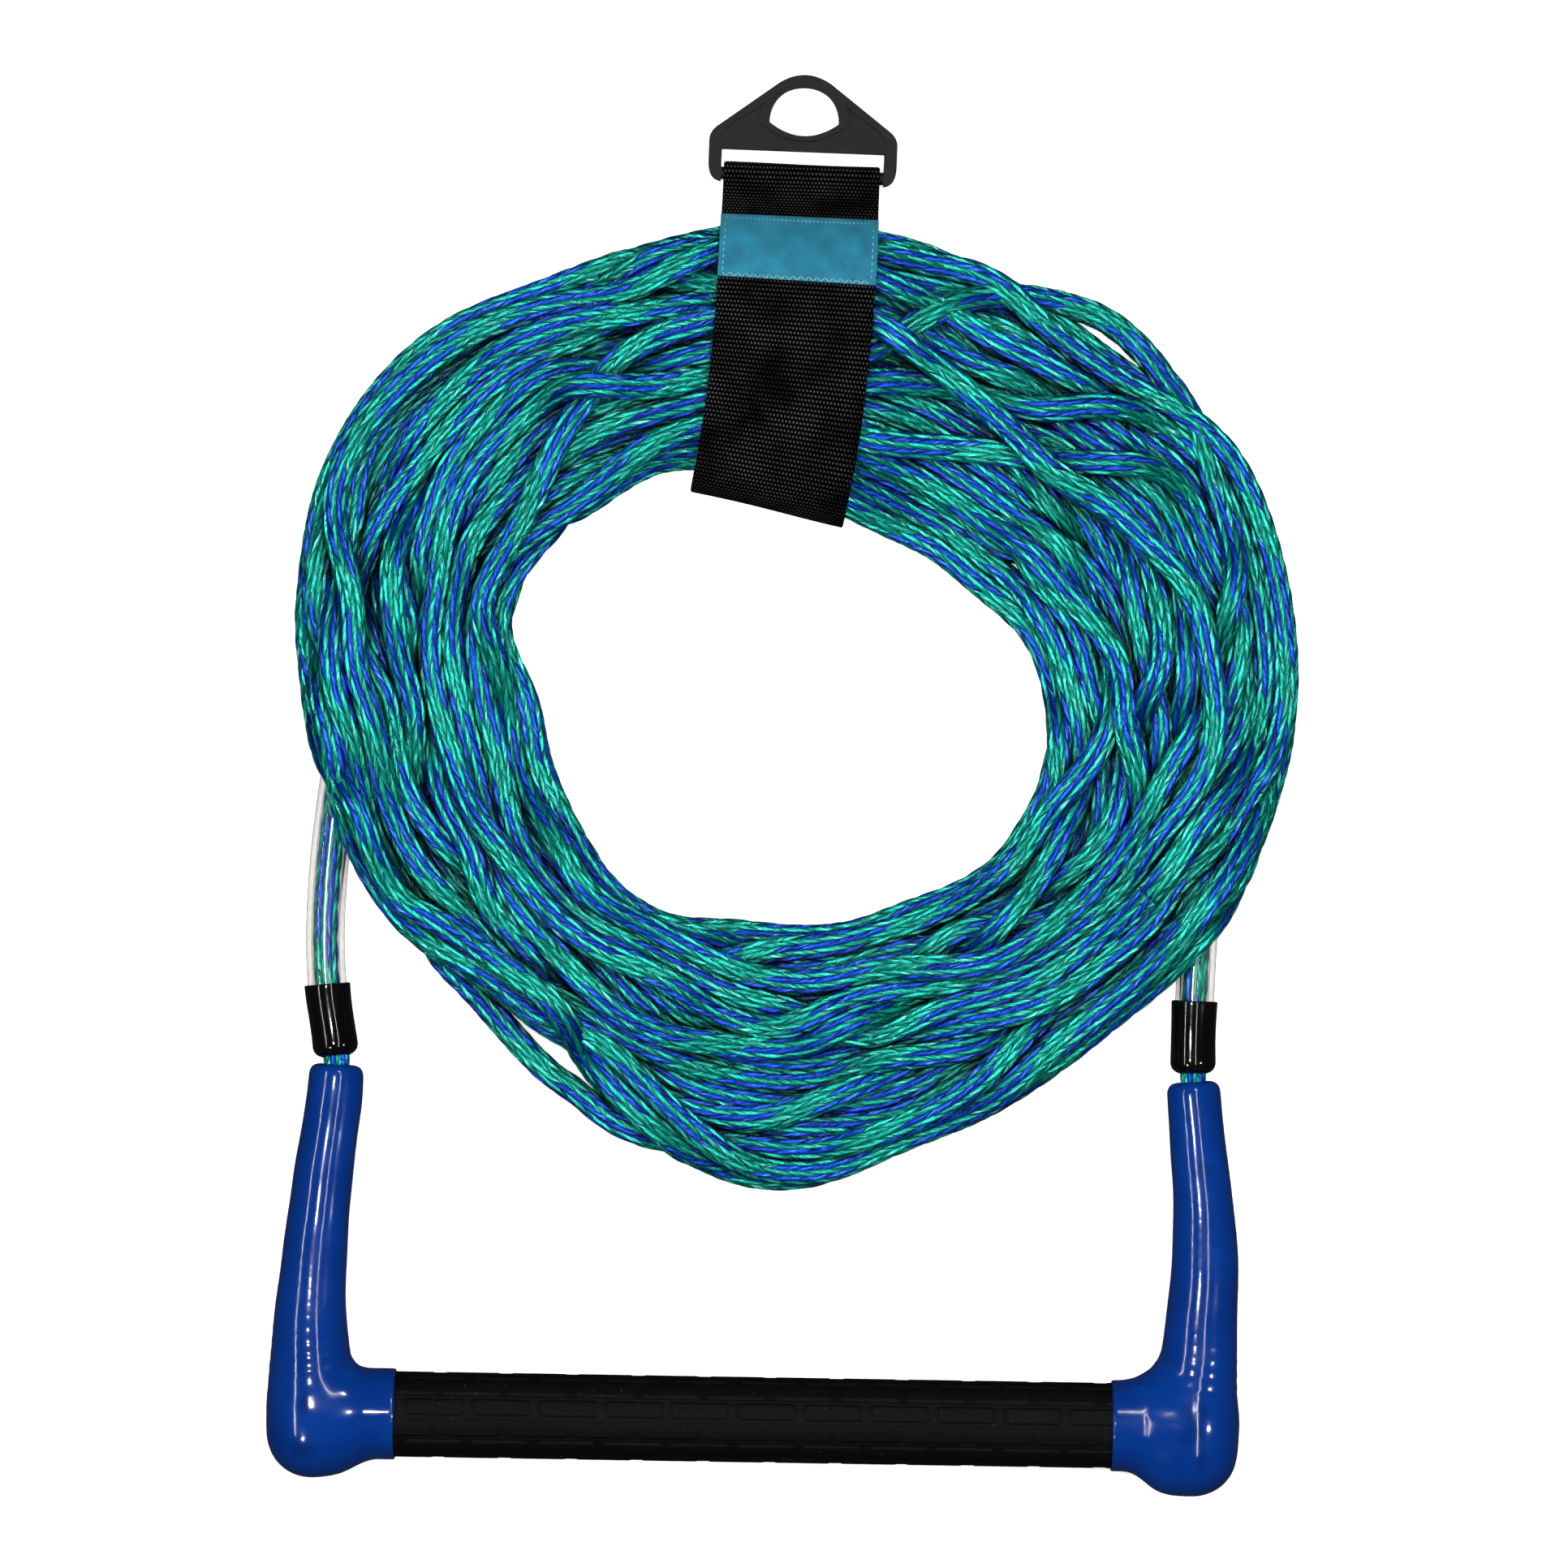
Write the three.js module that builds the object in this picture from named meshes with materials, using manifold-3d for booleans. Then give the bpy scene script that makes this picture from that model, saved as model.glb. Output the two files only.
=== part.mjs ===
// Water-ski tow rope handle with its coiled line, lying flat as it is stored. Millimetres, +Z up.
// X runs along the handle bar, +Y runs from the bar towards the hanger, and Z = 0 is the surface it lies on.
// The origin is the middle of the footprint of the handle, the strap and the hanger.
import * as THREE from "three";
import { mergeVertices } from "three/addons/utils/BufferGeometryUtils.js";
import Module from "manifold-3d";

const wasm = await Module();
wasm.setup();

// ---------------------------------------------------------------- driving dimensions
const GAP = 0.3; // clearance between pieces that touch

const GRIP_RADIUS = 13.5;
const GRIP_HALF_LENGTH = 118;
const TUBE_RADIUS = 11;
const TUBE_WALL = 1.4;
const TUBE_HALF_LENGTH = 126;
const BAR_Y = -201.15; // the bar's axis at its middle
const BAR_Z = 14.5;
const BAR_TILT = THREE.MathUtils.degToRad(-0.94);

const BOOT_WALL = 1.2;
const COLLAR_RADIUS = 14.5;
const COLLAR_END = 113.1; // where the boots' collars end on the grip, from the middle
const BOOT_TOP_FILLET = 5;

const BRIDLE_RADIUS = 3.6; // the braid where the handle's tubes squeeze it
const CHANNEL_RADIUS = BRIDLE_RADIUS + GAP;
const NECK_GAP = 3.4; // bare rope between a boot and the cap above it
const CLEAR_TUBE_RADIUS = 6.2;
const CLEAR_TUBE_BORE = 4.6;
const CAP_RADIUS = 7.35;
const CAP_BORE = CLEAR_TUBE_RADIUS + 0.5;
const CAP_LENGTH = 23;
const CAP_FLOOR = 2.6; // thickness of a cap's closed end

const COIL_CENTRE = new THREE.Vector2(10.8, 27);
const COIL_BOTTOM = 0.1;
const COIL_HEIGHT = 28;
// Radii every 30 degrees, anticlockwise from +X.
const COIL_OUTER = [162, 166, 157, 150, 154, 165, 154, 144, 143, 156, 147, 155];
const COIL_INNER = [81, 68, 64, 68, 82, 90, 79, 77, 78, 72, 75, 84];

const WEBBING_WIDTH = 49.6;
const WEBBING_THICKNESS = 1.4;
const PATCH_THICKNESS = 0.7;
const LABEL_THICKNESS = 0.5;
const STRAP_TOP = new THREE.Vector2(15.5, 197);
const STRAP_RUN = 110; // from the hanger's bar to the fold at the coil's inner edge
const STRAP_TOP_LEAN = THREE.MathUtils.degToRad(2.2);
const STRAP_EXTRA_LEAN = THREE.MathUtils.degToRad(11); // how much further it leans at the fold

const HANGER_THICKNESS = 4.4;
const HANGER_WEB = 2.4; // the recessed web inside its rim
const HANGER_BAR = new THREE.Vector3(15.5, 193, 4);
const HANGER_BAR_RADIUS = 2;
const SLOT_WIDTH = 51.6;
const SLOT_TOP = 7.6; // above the bar's axis

// ---------------------------------------------------------------- materials
const material = (color, roughness, metalness = 0, extra = {}) =>
  new THREE.MeshStandardMaterial({ color, roughness, metalness, ...extra });
const blueVinyl = material(0x0a3fae, 0.25);
const blackRubber = material(0x141414, 0.85);
const blackPlastic = material(0x17181a, 0.55);
const glossBlack = material(0x060606, 0.15);
const aluminium = material(0xb4b7ba, 0.4, 0.9);
const greenRope = material(0x0b9a7c, 0.5);
const clearVinyl = material(0xdfe6e2, 0.1, 0, { transparent: true, opacity: 0.4 });
const blackWebbing = material(0x0c0c0d, 0.9);
const tealLabel = material(0x14829a, 0.8);

// ---------------------------------------------------------------- geometry helpers
/** Keeps only the position, merges shared vertices and turns the faces out. */
function closed(geometry) {
  geometry.deleteAttribute("normal");
  geometry.deleteAttribute("uv");
  const merged = mergeVertices(geometry, 1e-3);
  const position = merged.attributes.position;
  const index = merged.index;
  const [a, b, c] = [new THREE.Vector3(), new THREE.Vector3(), new THREE.Vector3()];
  let volume = 0;
  for (let i = 0; i < index.count; i += 3) {
    a.fromBufferAttribute(position, index.getX(i));
    b.fromBufferAttribute(position, index.getX(i + 1));
    c.fromBufferAttribute(position, index.getX(i + 2));
    volume += a.dot(b.cross(c));
  }
  if (volume < 0) {
    for (let i = 0; i < index.count; i += 3) {
      const first = index.getX(i);
      index.setX(i, index.getX(i + 2));
      index.setX(i + 2, first);
    }
  }
  return merged;
}

function toSolid(geometry) {
  const whole = closed(geometry);
  return new wasm.Manifold(
    new wasm.Mesh({
      numProp: 3,
      vertProperties: new Float32Array(whole.attributes.position.array),
      triVerts: new Uint32Array(whole.index.array),
    }),
  );
}

function fromSolid(solid) {
  const mesh = solid.getMesh();
  const geometry = new THREE.BufferGeometry();
  geometry.setAttribute("position", new THREE.BufferAttribute(new Float32Array(mesh.vertProperties), 3));
  geometry.setIndex(new THREE.BufferAttribute(new Uint32Array(mesh.triVerts), 1));
  return geometry;
}

const points = (list) => list.map(([x, y, z]) => new THREE.Vector3(x, y, z));
const smooth = (list) => new THREE.CatmullRomCurve3(points(list), false, "centripetal");

/** The part of a curve between two fractions of its length. */
function stretch(curve, from, to, count = 24) {
  const list = [];
  for (let i = 0; i <= count; i += 1) {
    list.push(curve.getPointAt(from + ((to - from) * i) / count));
  }
  return new THREE.CatmullRomCurve3(list, false, "centripetal");
}

/** A solid round bar along a curve, whose radius may change along it. */
function sweptBar(curve, radiusAt, sides, steps) {
  const geometry = new THREE.CylinderGeometry(1, 1, 1, sides, steps);
  const frames = curve.computeFrenetFrames(steps);
  const position = geometry.attributes.position;
  const place = new THREE.Vector3();
  for (let i = 0; i < position.count; i += 1) {
    const fraction = position.getY(i) + 0.5;
    const frame = Math.round(fraction * steps);
    const radius = radiusAt(fraction);
    place.copy(curve.getPointAt(frame / steps));
    place.addScaledVector(frames.normals[frame], radius * position.getX(i));
    place.addScaledVector(frames.binormals[frame], radius * position.getZ(i));
    position.setXYZ(i, place.x, place.y, place.z);
  }
  return closed(geometry);
}

/** A pipe along a curve. */
function sweptPipe(curve, outer, bore, sides, steps) {
  const section = new THREE.Shape();
  section.absarc(0, 0, outer, 0, 2 * Math.PI);
  const hole = new THREE.Path();
  hole.absarc(0, 0, bore, 0, 2 * Math.PI, true);
  section.holes.push(hole);
  return closed(
    new THREE.ExtrudeGeometry(section, { steps, curveSegments: sides, extrudePath: curve }),
  );
}

/** A ring or sleeve about the X axis, from a closed outline of [x, radius] corners. */
function turnedAboutX(outline, segments = 32) {
  const profile = [...outline, outline[0]].map(([x, radius]) => new THREE.Vector2(radius, x));
  return closed(new THREE.LatheGeometry(profile, segments)).rotateZ(-Math.PI / 2);
}

/** Reads a list of values, spaced evenly, as one smooth curve. */
function blendOf(values) {
  const curve = new THREE.SplineCurve(values.map((value, i) => new THREE.Vector2(i, value)));
  return (fraction) => curve.getPoint(THREE.MathUtils.clamp(fraction, 0, 1)).y;
}

// ---------------------------------------------------------------- handle
const barMatrix = new THREE.Matrix4()
  .makeTranslation(0, BAR_Y, BAR_Z)
  .multiply(new THREE.Matrix4().makeRotationZ(BAR_TILT));

const onBar = (geometry) => geometry.applyMatrix4(barMatrix);

/** A round bar about the handle's own axis, between two distances from its middle. */
function barPiece(from, to, radius, segments = 24) {
  const geometry = new THREE.CylinderGeometry(radius, radius, Math.abs(to - from), segments);
  geometry.rotateZ(Math.PI / 2).translate((from + to) / 2, 0, 0);
  return onBar(geometry);
}

// The centre line of each boot's leg, from the elbow's foot to its top, and the leg's radius there.
const LEGS = {
  left: {
    centre: [
      [-139, -204.9, 14.5],
      [-139.4, -192, 14.5],
      [-140, -180, 14.2],
      [-140, -168, 13.6],
      [-139.3, -155, 12.8],
      [-138.1, -141, 11.8],
      [-136.4, -126, 10.8],
      [-134.2, -110, 9.8],
      [-132.6, -98, 9.1],
      [-132, -89.3, 8.8],
    ],
    radii: [14, 14, 12.6, 11.4, 10.6, 9.9, 9.4, 9.1, 8.8, 8.6],
  },
  right: {
    centre: [
      [138.5, -210.6, 14.5],
      [139.2, -197, 14.5],
      [140.3, -184, 14.2],
      [141.3, -172, 13.6],
      [142.2, -158, 12.8],
      [142.5, -143, 11.8],
      [142.1, -128, 10.8],
      [141.1, -116, 9.9],
      [139.9, -103, 9.1],
      [139.4, -94.9, 8.8],
    ],
    radii: [14.4, 14.3, 12.4, 11, 10.4, 9.7, 9.2, 8.9, 8.6, 8.4],
  },
};

// The rope inside the handle, from the left neck through the bar to the right neck.
const HANDLE_ROPE_ROUTE = [
  [-132, -87.6, 8.4],
  [-132.6, -98, 9.1],
  [-134.2, -110, 9.8],
  [-136.4, -126, 10.8],
  [-138.1, -141, 11.8],
  [-139.2, -155, 12.8],
  [-139.6, -168, 13.6],
  [-138.8, -180, 14.2],
  [-135, -191, 14.5],
  [-126.5, -197.6, 14.5],
  [-112, -199.3, 14.5],
  [-60, -200.2, 14.5],
  [0, -201.15, 14.5],
  [60, -202.1, 14.5],
  [112, -203, 14.5],
  [126.5, -201.6, 14.5],
  [135, -195.2, 14.5],
  [139.4, -184, 14.2],
  [141.2, -172, 13.6],
  [142.1, -158, 12.8],
  [142.4, -143, 11.8],
  [142, -128, 10.8],
  [141.1, -116, 9.9],
  [139.9, -103, 9.1],
  [139.4, -93.2, 8.4],
];
const handleRopeCurve = smooth(HANDLE_ROPE_ROUTE);
const leftNeck = new THREE.Vector3(...HANDLE_ROPE_ROUTE[0]);
const rightNeck = new THREE.Vector3(...HANDLE_ROPE_ROUTE.at(-1));

const HANDLE_ROPE_STEPS = 44;
const ropeChannel = () =>
  toSolid(sweptBar(handleRopeCurve, () => CHANNEL_RADIUS, 12, HANDLE_ROPE_STEPS));

/** The leg of a boot: a round foot, the tapering leg and a rounded top, all shrunk by inset. */
function bootLeg(leg, inset) {
  const curve = smooth(leg.centre);
  const length = curve.getLength();
  const radius = blendOf(leg.radii);
  const fillet = BOOT_TOP_FILLET;
  const radiusAt = (fraction) => {
    const fromTop = (1 - fraction) * length;
    const full = radius(fraction) - inset;
    if (fromTop > fillet) {
      return full;
    }
    return full - fillet + Math.sqrt(fillet ** 2 - (fillet - fromTop) ** 2);
  };
  const foot = new THREE.SphereGeometry(leg.radii[0] - inset, 16, 8);
  foot.translate(...leg.centre[0]);
  return toSolid(sweptBar(curve, radiusAt, 16, 20)).add(toSolid(foot));
}

/** The filled inner corner between the leg and the collar. */
function bootCorner(leg, side, inset) {
  const [, , , low] = leg.centre;
  const [, bend] = leg.centre;
  const bar = new THREE.Vector3(side * 119, 0, 0).applyMatrix4(barMatrix);
  const curve = new THREE.QuadraticBezierCurve3(
    new THREE.Vector3(...low),
    new THREE.Vector3(bend[0] - side * 2, bend[1] - 4, bend[2]),
    bar,
  );
  return toSolid(sweptBar(curve, () => 11 - inset, 14, 6));
}

function boot(name, side) {
  const leg = LEGS[name];
  const inside = Math.abs(leg.centre[0][0]);
  const outer = bootLeg(leg, 0)
    .add(bootCorner(leg, side, 0))
    .add(toSolid(barPiece(side * COLLAR_END, side * inside, COLLAR_RADIUS)));
  const hollow = bootLeg(leg, BOOT_WALL)
    .add(bootCorner(leg, side, BOOT_WALL))
    .add(toSolid(barPiece(side * (COLLAR_END - 2), side * inside, GRIP_RADIUS + GAP)));
  return fromSolid(outer.subtract(hollow).subtract(ropeChannel()));
}

/** The moulded insert that turns the rope from the bar into the leg. */
function endPlug(name, side) {
  const leg = LEGS[name];
  const spigot = barPiece(side * 110, side * 131, TUBE_RADIUS - TUBE_WALL - GAP);
  const flange = barPiece(side * (TUBE_HALF_LENGTH + GAP), side * 134, TUBE_RADIUS);
  const knob = new THREE.SphereGeometry(12, 16, 8);
  const middle = new THREE.Vector3(side * 138, 0, 0).applyMatrix4(barMatrix);
  knob.translate(middle.x, middle.y, middle.z);
  const snout = sweptBar(stretch(smooth(leg.centre), 0.1, 0.3), () => 8.4, 14, 4);
  const body = toSolid(spigot).add(toSolid(flange)).add(toSolid(knob)).add(toSolid(snout));
  return fromSolid(body.subtract(ropeChannel()));
}

/** The rope inside the handle, with a ball at each neck, where the handle swings. */
function handleRope() {
  let solid = toSolid(sweptBar(handleRopeCurve, () => BRIDLE_RADIUS, 8, HANDLE_ROPE_STEPS));
  for (const neck of [leftNeck, rightNeck]) {
    const ball = new THREE.SphereGeometry(BRIDLE_RADIUS, 10, 6);
    ball.translate(neck.x, neck.y, neck.z);
    solid = solid.add(toSolid(ball));
  }
  return fromSolid(solid);
}

function gripSleeve() {
  const bore = TUBE_RADIUS + GAP;
  return turnedAboutX([
    [-GRIP_HALF_LENGTH, bore],
    [-GRIP_HALF_LENGTH, GRIP_RADIUS],
    [GRIP_HALF_LENGTH, GRIP_RADIUS],
    [GRIP_HALF_LENGTH, bore],
  ]);
}

function handleTube() {
  const bore = TUBE_RADIUS - TUBE_WALL;
  return turnedAboutX([
    [-TUBE_HALF_LENGTH, bore],
    [-TUBE_HALF_LENGTH, TUBE_RADIUS],
    [TUBE_HALF_LENGTH, TUBE_RADIUS],
    [TUBE_HALF_LENGTH, bore],
  ]);
}

// ---------------------------------------------------------------- bridle
// The bridle rope, from the left neck under the coil to the right neck.
const BRIDLE_ROUTE = [
  [-132, -87.6, 8.4],
  [-132.9, -80, 7.9],
  [-134.9, -66, 7.5],
  [-135.7, -50, 7.1],
  [-135.2, -34, 6.8],
  [-133.6, -16, 6.7],
  [-130, 8, 6.7],
  [-123.5, 34, 6.7],
  [-113, 60, 6.8],
  [-99, 84, 7.5],
  [-81, 106, 7.6],
  [-60, 124, 6.6],
  [-36, 137, 7.4],
  [-10, 144, 9.4],
  [15, 146, 9.6],
  [42, 143, 9],
  [68, 135, 5.4],
  [92, 121, 5],
  [112, 102, 7.6],
  [127, 79, 7.5],
  [136, 54, 6.8],
  [140.5, 28, 6.7],
  [142, 2, 6.7],
  [141.8, -24, 6.7],
  [141, -48, 7.1],
  [140, -68, 7.5],
  [139.5, -82, 7.9],
  [139.4, -93.2, 8.4],
];
const bridleCurve = smooth(BRIDLE_ROUTE);
const BRIDLE_LENGTH = bridleCurve.getLength();
const LOWER_CAP_START = NECK_GAP / 2;
const END_GAP = 0.8; // between a tube's end and the floor of its cap
const CLEAR_TUBE_START = LOWER_CAP_START + CAP_FLOOR + END_GAP;
const CLEAR_TUBE_LENGTH = 200;
const UPPER_CAP_END = CLEAR_TUBE_START + CLEAR_TUBE_LENGTH + END_GAP + CAP_FLOOR;

/** A stretch of the bridle between two distances from one of its necks. */
function alongBridle(side, from, to, count) {
  const [first, last] = [from / BRIDLE_LENGTH, to / BRIDLE_LENGTH];
  return side < 0
    ? stretch(bridleCurve, first, last, count)
    : stretch(bridleCurve, 1 - first, 1 - last, count);
}

function bridleRope() {
  const inside = BRIDLE_RADIUS + GAP * 2;
  const curve = stretch(bridleCurve, inside / BRIDLE_LENGTH, 1 - inside / BRIDLE_LENGTH, 60);
  return sweptBar(curve, () => BRIDLE_RADIUS, 8, 48);
}

function clearTube(side) {
  const curve = alongBridle(side, CLEAR_TUBE_START, CLEAR_TUBE_START + CLEAR_TUBE_LENGTH, 16);
  return sweptPipe(curve, CLEAR_TUBE_RADIUS, CLEAR_TUBE_BORE, 5, 16);
}

/** A rubber cap over a tube's end, with its closed end at the distance shut. */
function endCap(side, shut, open, fillet) {
  const way = Math.sign(open - shut);
  const length = Math.abs(open - shut);
  const radiusAt = (fraction) => {
    const fromShut = fraction * length;
    if (fromShut > fillet) {
      return CAP_RADIUS;
    }
    return CAP_RADIUS - fillet + Math.sqrt(fillet ** 2 - (fillet - fromShut) ** 2);
  };
  const body = sweptBar(alongBridle(side, shut, open, 12), radiusAt, 14, 8);
  const socket = alongBridle(side, shut + way * CAP_FLOOR, open + way * 2, 12);
  const hole = alongBridle(side, Math.max(shut - way * 2, 0), open + way, 12);
  return fromSolid(
    toSolid(body)
      .subtract(toSolid(sweptBar(socket, () => CAP_BORE, 14, 3)))
      .subtract(toSolid(sweptBar(hole, () => BRIDLE_RADIUS + 0.4, 12, 3))),
  );
}

// The seizing that binds the main line to the bridle rope, side by side.
const SEIZING_START = 0.575;
const SEIZING_END = 0.63;
const SEIZING_SHIFT = 4.2; // the pair's middle lies this far towards the coil's centre

function seizingCurve() {
  const list = [];
  const centre = new THREE.Vector3(COIL_CENTRE.x, COIL_CENTRE.y, 0);
  for (let i = 0; i <= 6; i += 1) {
    const at = bridleCurve.getPointAt(SEIZING_START + ((SEIZING_END - SEIZING_START) * i) / 6);
    const inward = centre.clone().sub(at).setZ(0).normalize();
    list.push(at.addScaledVector(inward, SEIZING_SHIFT).setZ(5.2));
  }
  return new THREE.CatmullRomCurve3(list, false, "centripetal");
}

/** A flat oval bar along the seizing, grown by margin. */
function seizingBar(margin) {
  const bar = sweptBar(seizingCurve(), () => 1, 18, 4);
  const curve = seizingCurve();
  const position = bar.attributes.position;
  const at = new THREE.Vector3();
  const out = new THREE.Vector3();
  const samples = curve.getSpacedPoints(60);
  for (let i = 0; i < position.count; i += 1) {
    at.fromBufferAttribute(position, i);
    const near = samples.reduce((a, b) => (a.distanceToSquared(at) < b.distanceToSquared(at) ? a : b));
    out.copy(at).sub(near);
    const flat = new THREE.Vector3(out.x, out.y, 0).multiplyScalar(9.1 + margin);
    position.setXYZ(i, near.x + flat.x, near.y + flat.y, near.z + out.z * (4.9 + margin));
  }
  return closed(bar);
}

function bridleSeizing() {
  const hole = stretch(bridleCurve, SEIZING_START - 0.01, SEIZING_END + 0.01, 12);
  return fromSolid(
    toSolid(seizingBar(0)).subtract(toSolid(sweptBar(hole, () => CHANNEL_RADIUS + GAP, 12, 6))),
  );
}

// ---------------------------------------------------------------- strap
/** How far down the strap a point is, from 0 at the hanger's bar to 1 at the fold. */
const downStrap = (y) => THREE.MathUtils.clamp((STRAP_TOP.y - y) / STRAP_RUN, 0, 1);

/** Leans a straight strap, drawn about X = 0, over to the way it lies. */
function leaned(geometry) {
  const position = geometry.attributes.position;
  for (let i = 0; i < position.count; i += 1) {
    const across = position.getX(i);
    const y = position.getY(i);
    const t = downStrap(y);
    const lean = STRAP_TOP_LEAN + STRAP_EXTRA_LEAN * t * t;
    const drift = STRAP_RUN * (STRAP_TOP_LEAN * t + (STRAP_EXTRA_LEAN * t ** 3) / 3);
    position.setX(i, STRAP_TOP.x - drift + across * Math.cos(lean));
    position.setY(i, y - across * Math.sin(lean));
  }
  return geometry;
}

/** A prism across the strap from an outline in (y, z). */
function acrossStrap(outline, width) {
  const shape = new THREE.Shape(outline.map(([y, z]) => new THREE.Vector2(y, z)));
  const geometry = new THREE.ExtrudeGeometry(shape, { depth: width, bevelEnabled: false });
  geometry.translate(0, 0, -width / 2);
  geometry.applyMatrix4(
    new THREE.Matrix4().makeBasis(
      new THREE.Vector3(0, 1, 0),
      new THREE.Vector3(0, 0, 1),
      new THREE.Vector3(1, 0, 0),
    ),
  );
  return leaned(closed(geometry));
}

/** The two faces of a ribbon that follows a line in (y, z), offset to its left. */
function ribbonFaces(line, thickness, offset) {
  const face = (shift) =>
    line.map(([y, z], i) => {
      const [y0, z0] = line[Math.max(i - 1, 0)];
      const [y1, z1] = line[Math.min(i + 1, line.length - 1)];
      const length = Math.hypot(y1 - y0, z1 - z0);
      return [y - (shift * (z1 - z0)) / length, z + (shift * (y1 - y0)) / length];
    });
  return [face(offset + thickness / 2), face(offset - thickness / 2)];
}

/** A ribbon across the strap, along a line in (y, z). */
function ribbon(line, thickness, width, offset = 0) {
  const last = line.length - 1;
  const [left, right] = ribbonFaces(line, thickness, offset);
  const geometry = closed(new THREE.BoxGeometry(width, 1, 1, 1, last, 1));
  const position = geometry.attributes.position;
  for (let i = 0; i < position.count; i += 1) {
    const step = Math.round((position.getY(i) + 0.5) * last);
    const [y, z] = (position.getZ(i) > 0 ? left : right)[step];
    position.setXYZ(i, position.getX(i), y, z);
  }
  return leaned(closed(geometry));
}

function curveThrough(list, count) {
  const flat = list.map(([y, z]) => new THREE.Vector3(y, z, 0));
  const curve = new THREE.CatmullRomCurve3(flat, false, "centripetal");
  return curve.getSpacedPoints(count).map((p) => [p.x, p.y]);
}

// The strap's middle line seen from its side, as [y, z]. It runs from the free tail on the surface,
// round the coil's inner edge, over the coil's front, round the hanger's bar and back under the coil.
const LOOP_RADIUS = HANGER_BAR_RADIUS + GAP + WEBBING_THICKNESS / 2;
const TAIL_Z = WEBBING_THICKNESS / 2 + 0.15;
const REAR_Z = 4.6;
const STRAP_FRONT = [
  [174, TAIL_Z],
  [100, TAIL_Z],
  [95, 1.2],
  [90.5, 3.4],
  [88, 8],
  [87.6, 14],
  [90, 21],
  [97, 27.2],
  [108, 30.2],
  [125, 31.2],
  [145, 30.8],
  [160, 28.6],
  [171, 23.6],
  [179, 16.6],
  [185.5, 9.8],
  [189.5, HANGER_BAR.z + LOOP_RADIUS + 0.4],
];
const STRAP_REAR = [
  [188, HANGER_BAR.z - LOOP_RADIUS + 0.5],
  [178, REAR_Z - 0.3],
  [170, REAR_Z],
  [118, REAR_Z],
];

function strapLine() {
  const loop = [];
  for (let degrees = 80; degrees >= -80; degrees -= 20) {
    const angle = THREE.MathUtils.degToRad(degrees);
    loop.push([
      HANGER_BAR.y + LOOP_RADIUS * Math.cos(angle),
      HANGER_BAR.z + LOOP_RADIUS * Math.sin(angle),
    ]);
  }
  return [...curveThrough(STRAP_FRONT, 44), ...loop, ...curveThrough(STRAP_REAR, 8)];
}

const strapWebbing = () => ribbon(strapLine(), WEBBING_THICKNESS, WEBBING_WIDTH);

/** A hook or loop patch between the tail and the rear run. */
function patch(middle) {
  const line = [172, 162, 152, 142, 132, 122].map((y) => [y, middle]);
  return ribbon(line, PATCH_THICKNESS, WEBBING_WIDTH - 3);
}

function strapLabel() {
  const front = curveThrough(STRAP_FRONT, 240).filter(([y, z]) => y > 157.6 && y < 178.6 && z > 3);
  const line = front.filter((_, i) => i % 4 === 0);
  const offset = (WEBBING_THICKNESS + LABEL_THICKNESS) / 2 + GAP;
  return ribbon(line, LABEL_THICKNESS, WEBBING_WIDTH + 0.4, offset);
}

/** What the strap leaves for the rope inside its loop, as a solid across the strap. */
function insideStrap() {
  const room = WEBBING_THICKNESS / 2 + GAP;
  const front = curveThrough(STRAP_FRONT, 60).filter(([y, z]) => z > REAR_Z || y < 96);
  const line = front.filter(([y]) => y < 182);
  const [inner] = ribbonFaces(line, 0, -room);
  const floor = REAR_Z + room;
  return acrossStrap([...inner.filter(([, z]) => z > floor), [181, floor], [92, floor]], 60);
}

// ---------------------------------------------------------------- coil
const aroundCoil = (radii) => {
  const ring = radii.map((radius, i) => {
    const angle = (i * 2 * Math.PI) / radii.length;
    return new THREE.Vector3(radius * Math.cos(angle), radius * Math.sin(angle), 0);
  });
  const curve = new THREE.CatmullRomCurve3(ring, true, "centripetal");
  const samples = curve.getPoints(360);
  return (angle) => {
    const turn = ((angle % (2 * Math.PI)) + 2 * Math.PI) % (2 * Math.PI);
    const gapTo = (p) => {
      const own = (Math.atan2(p.y, p.x) + 2 * Math.PI) % (2 * Math.PI);
      const gap = Math.abs(own - turn);
      return Math.min(gap, 2 * Math.PI - gap);
    };
    return samples.reduce((a, b) => (gapTo(a) < gapTo(b) ? a : b)).length();
  };
};

/** One ring in the coil's outer shape, with round flanks. */
function coilRing() {
  const section = [];
  const sides = 12;
  const squareness = 0.8;
  const bulge = (value) => Math.sign(value) * Math.abs(value) ** squareness;
  for (let i = 0; i <= sides; i += 1) {
    const angle = (i * 2 * Math.PI) / sides;
    section.push(new THREE.Vector2(3 + bulge(Math.cos(angle)), bulge(Math.sin(angle))));
  }
  const ring = closed(new THREE.LatheGeometry(section, 48));
  const outer = aroundCoil(COIL_OUTER);
  const inner = aroundCoil(COIL_INNER);
  const position = ring.attributes.position;
  for (let i = 0; i < position.count; i += 1) {
    const [x, up, y] = [position.getX(i), position.getY(i), position.getZ(i)];
    const angle = Math.atan2(y, x);
    const share = (Math.hypot(x, y) - 2) / 2;
    const radius = inner(angle) + share * (outer(angle) - inner(angle));
    position.setXYZ(
      i,
      COIL_CENTRE.x + radius * Math.cos(angle),
      COIL_CENTRE.y + radius * Math.sin(angle),
      COIL_BOTTOM + ((up + 1) / 2) * COIL_HEIGHT,
    );
  }
  return closed(ring);
}

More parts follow.
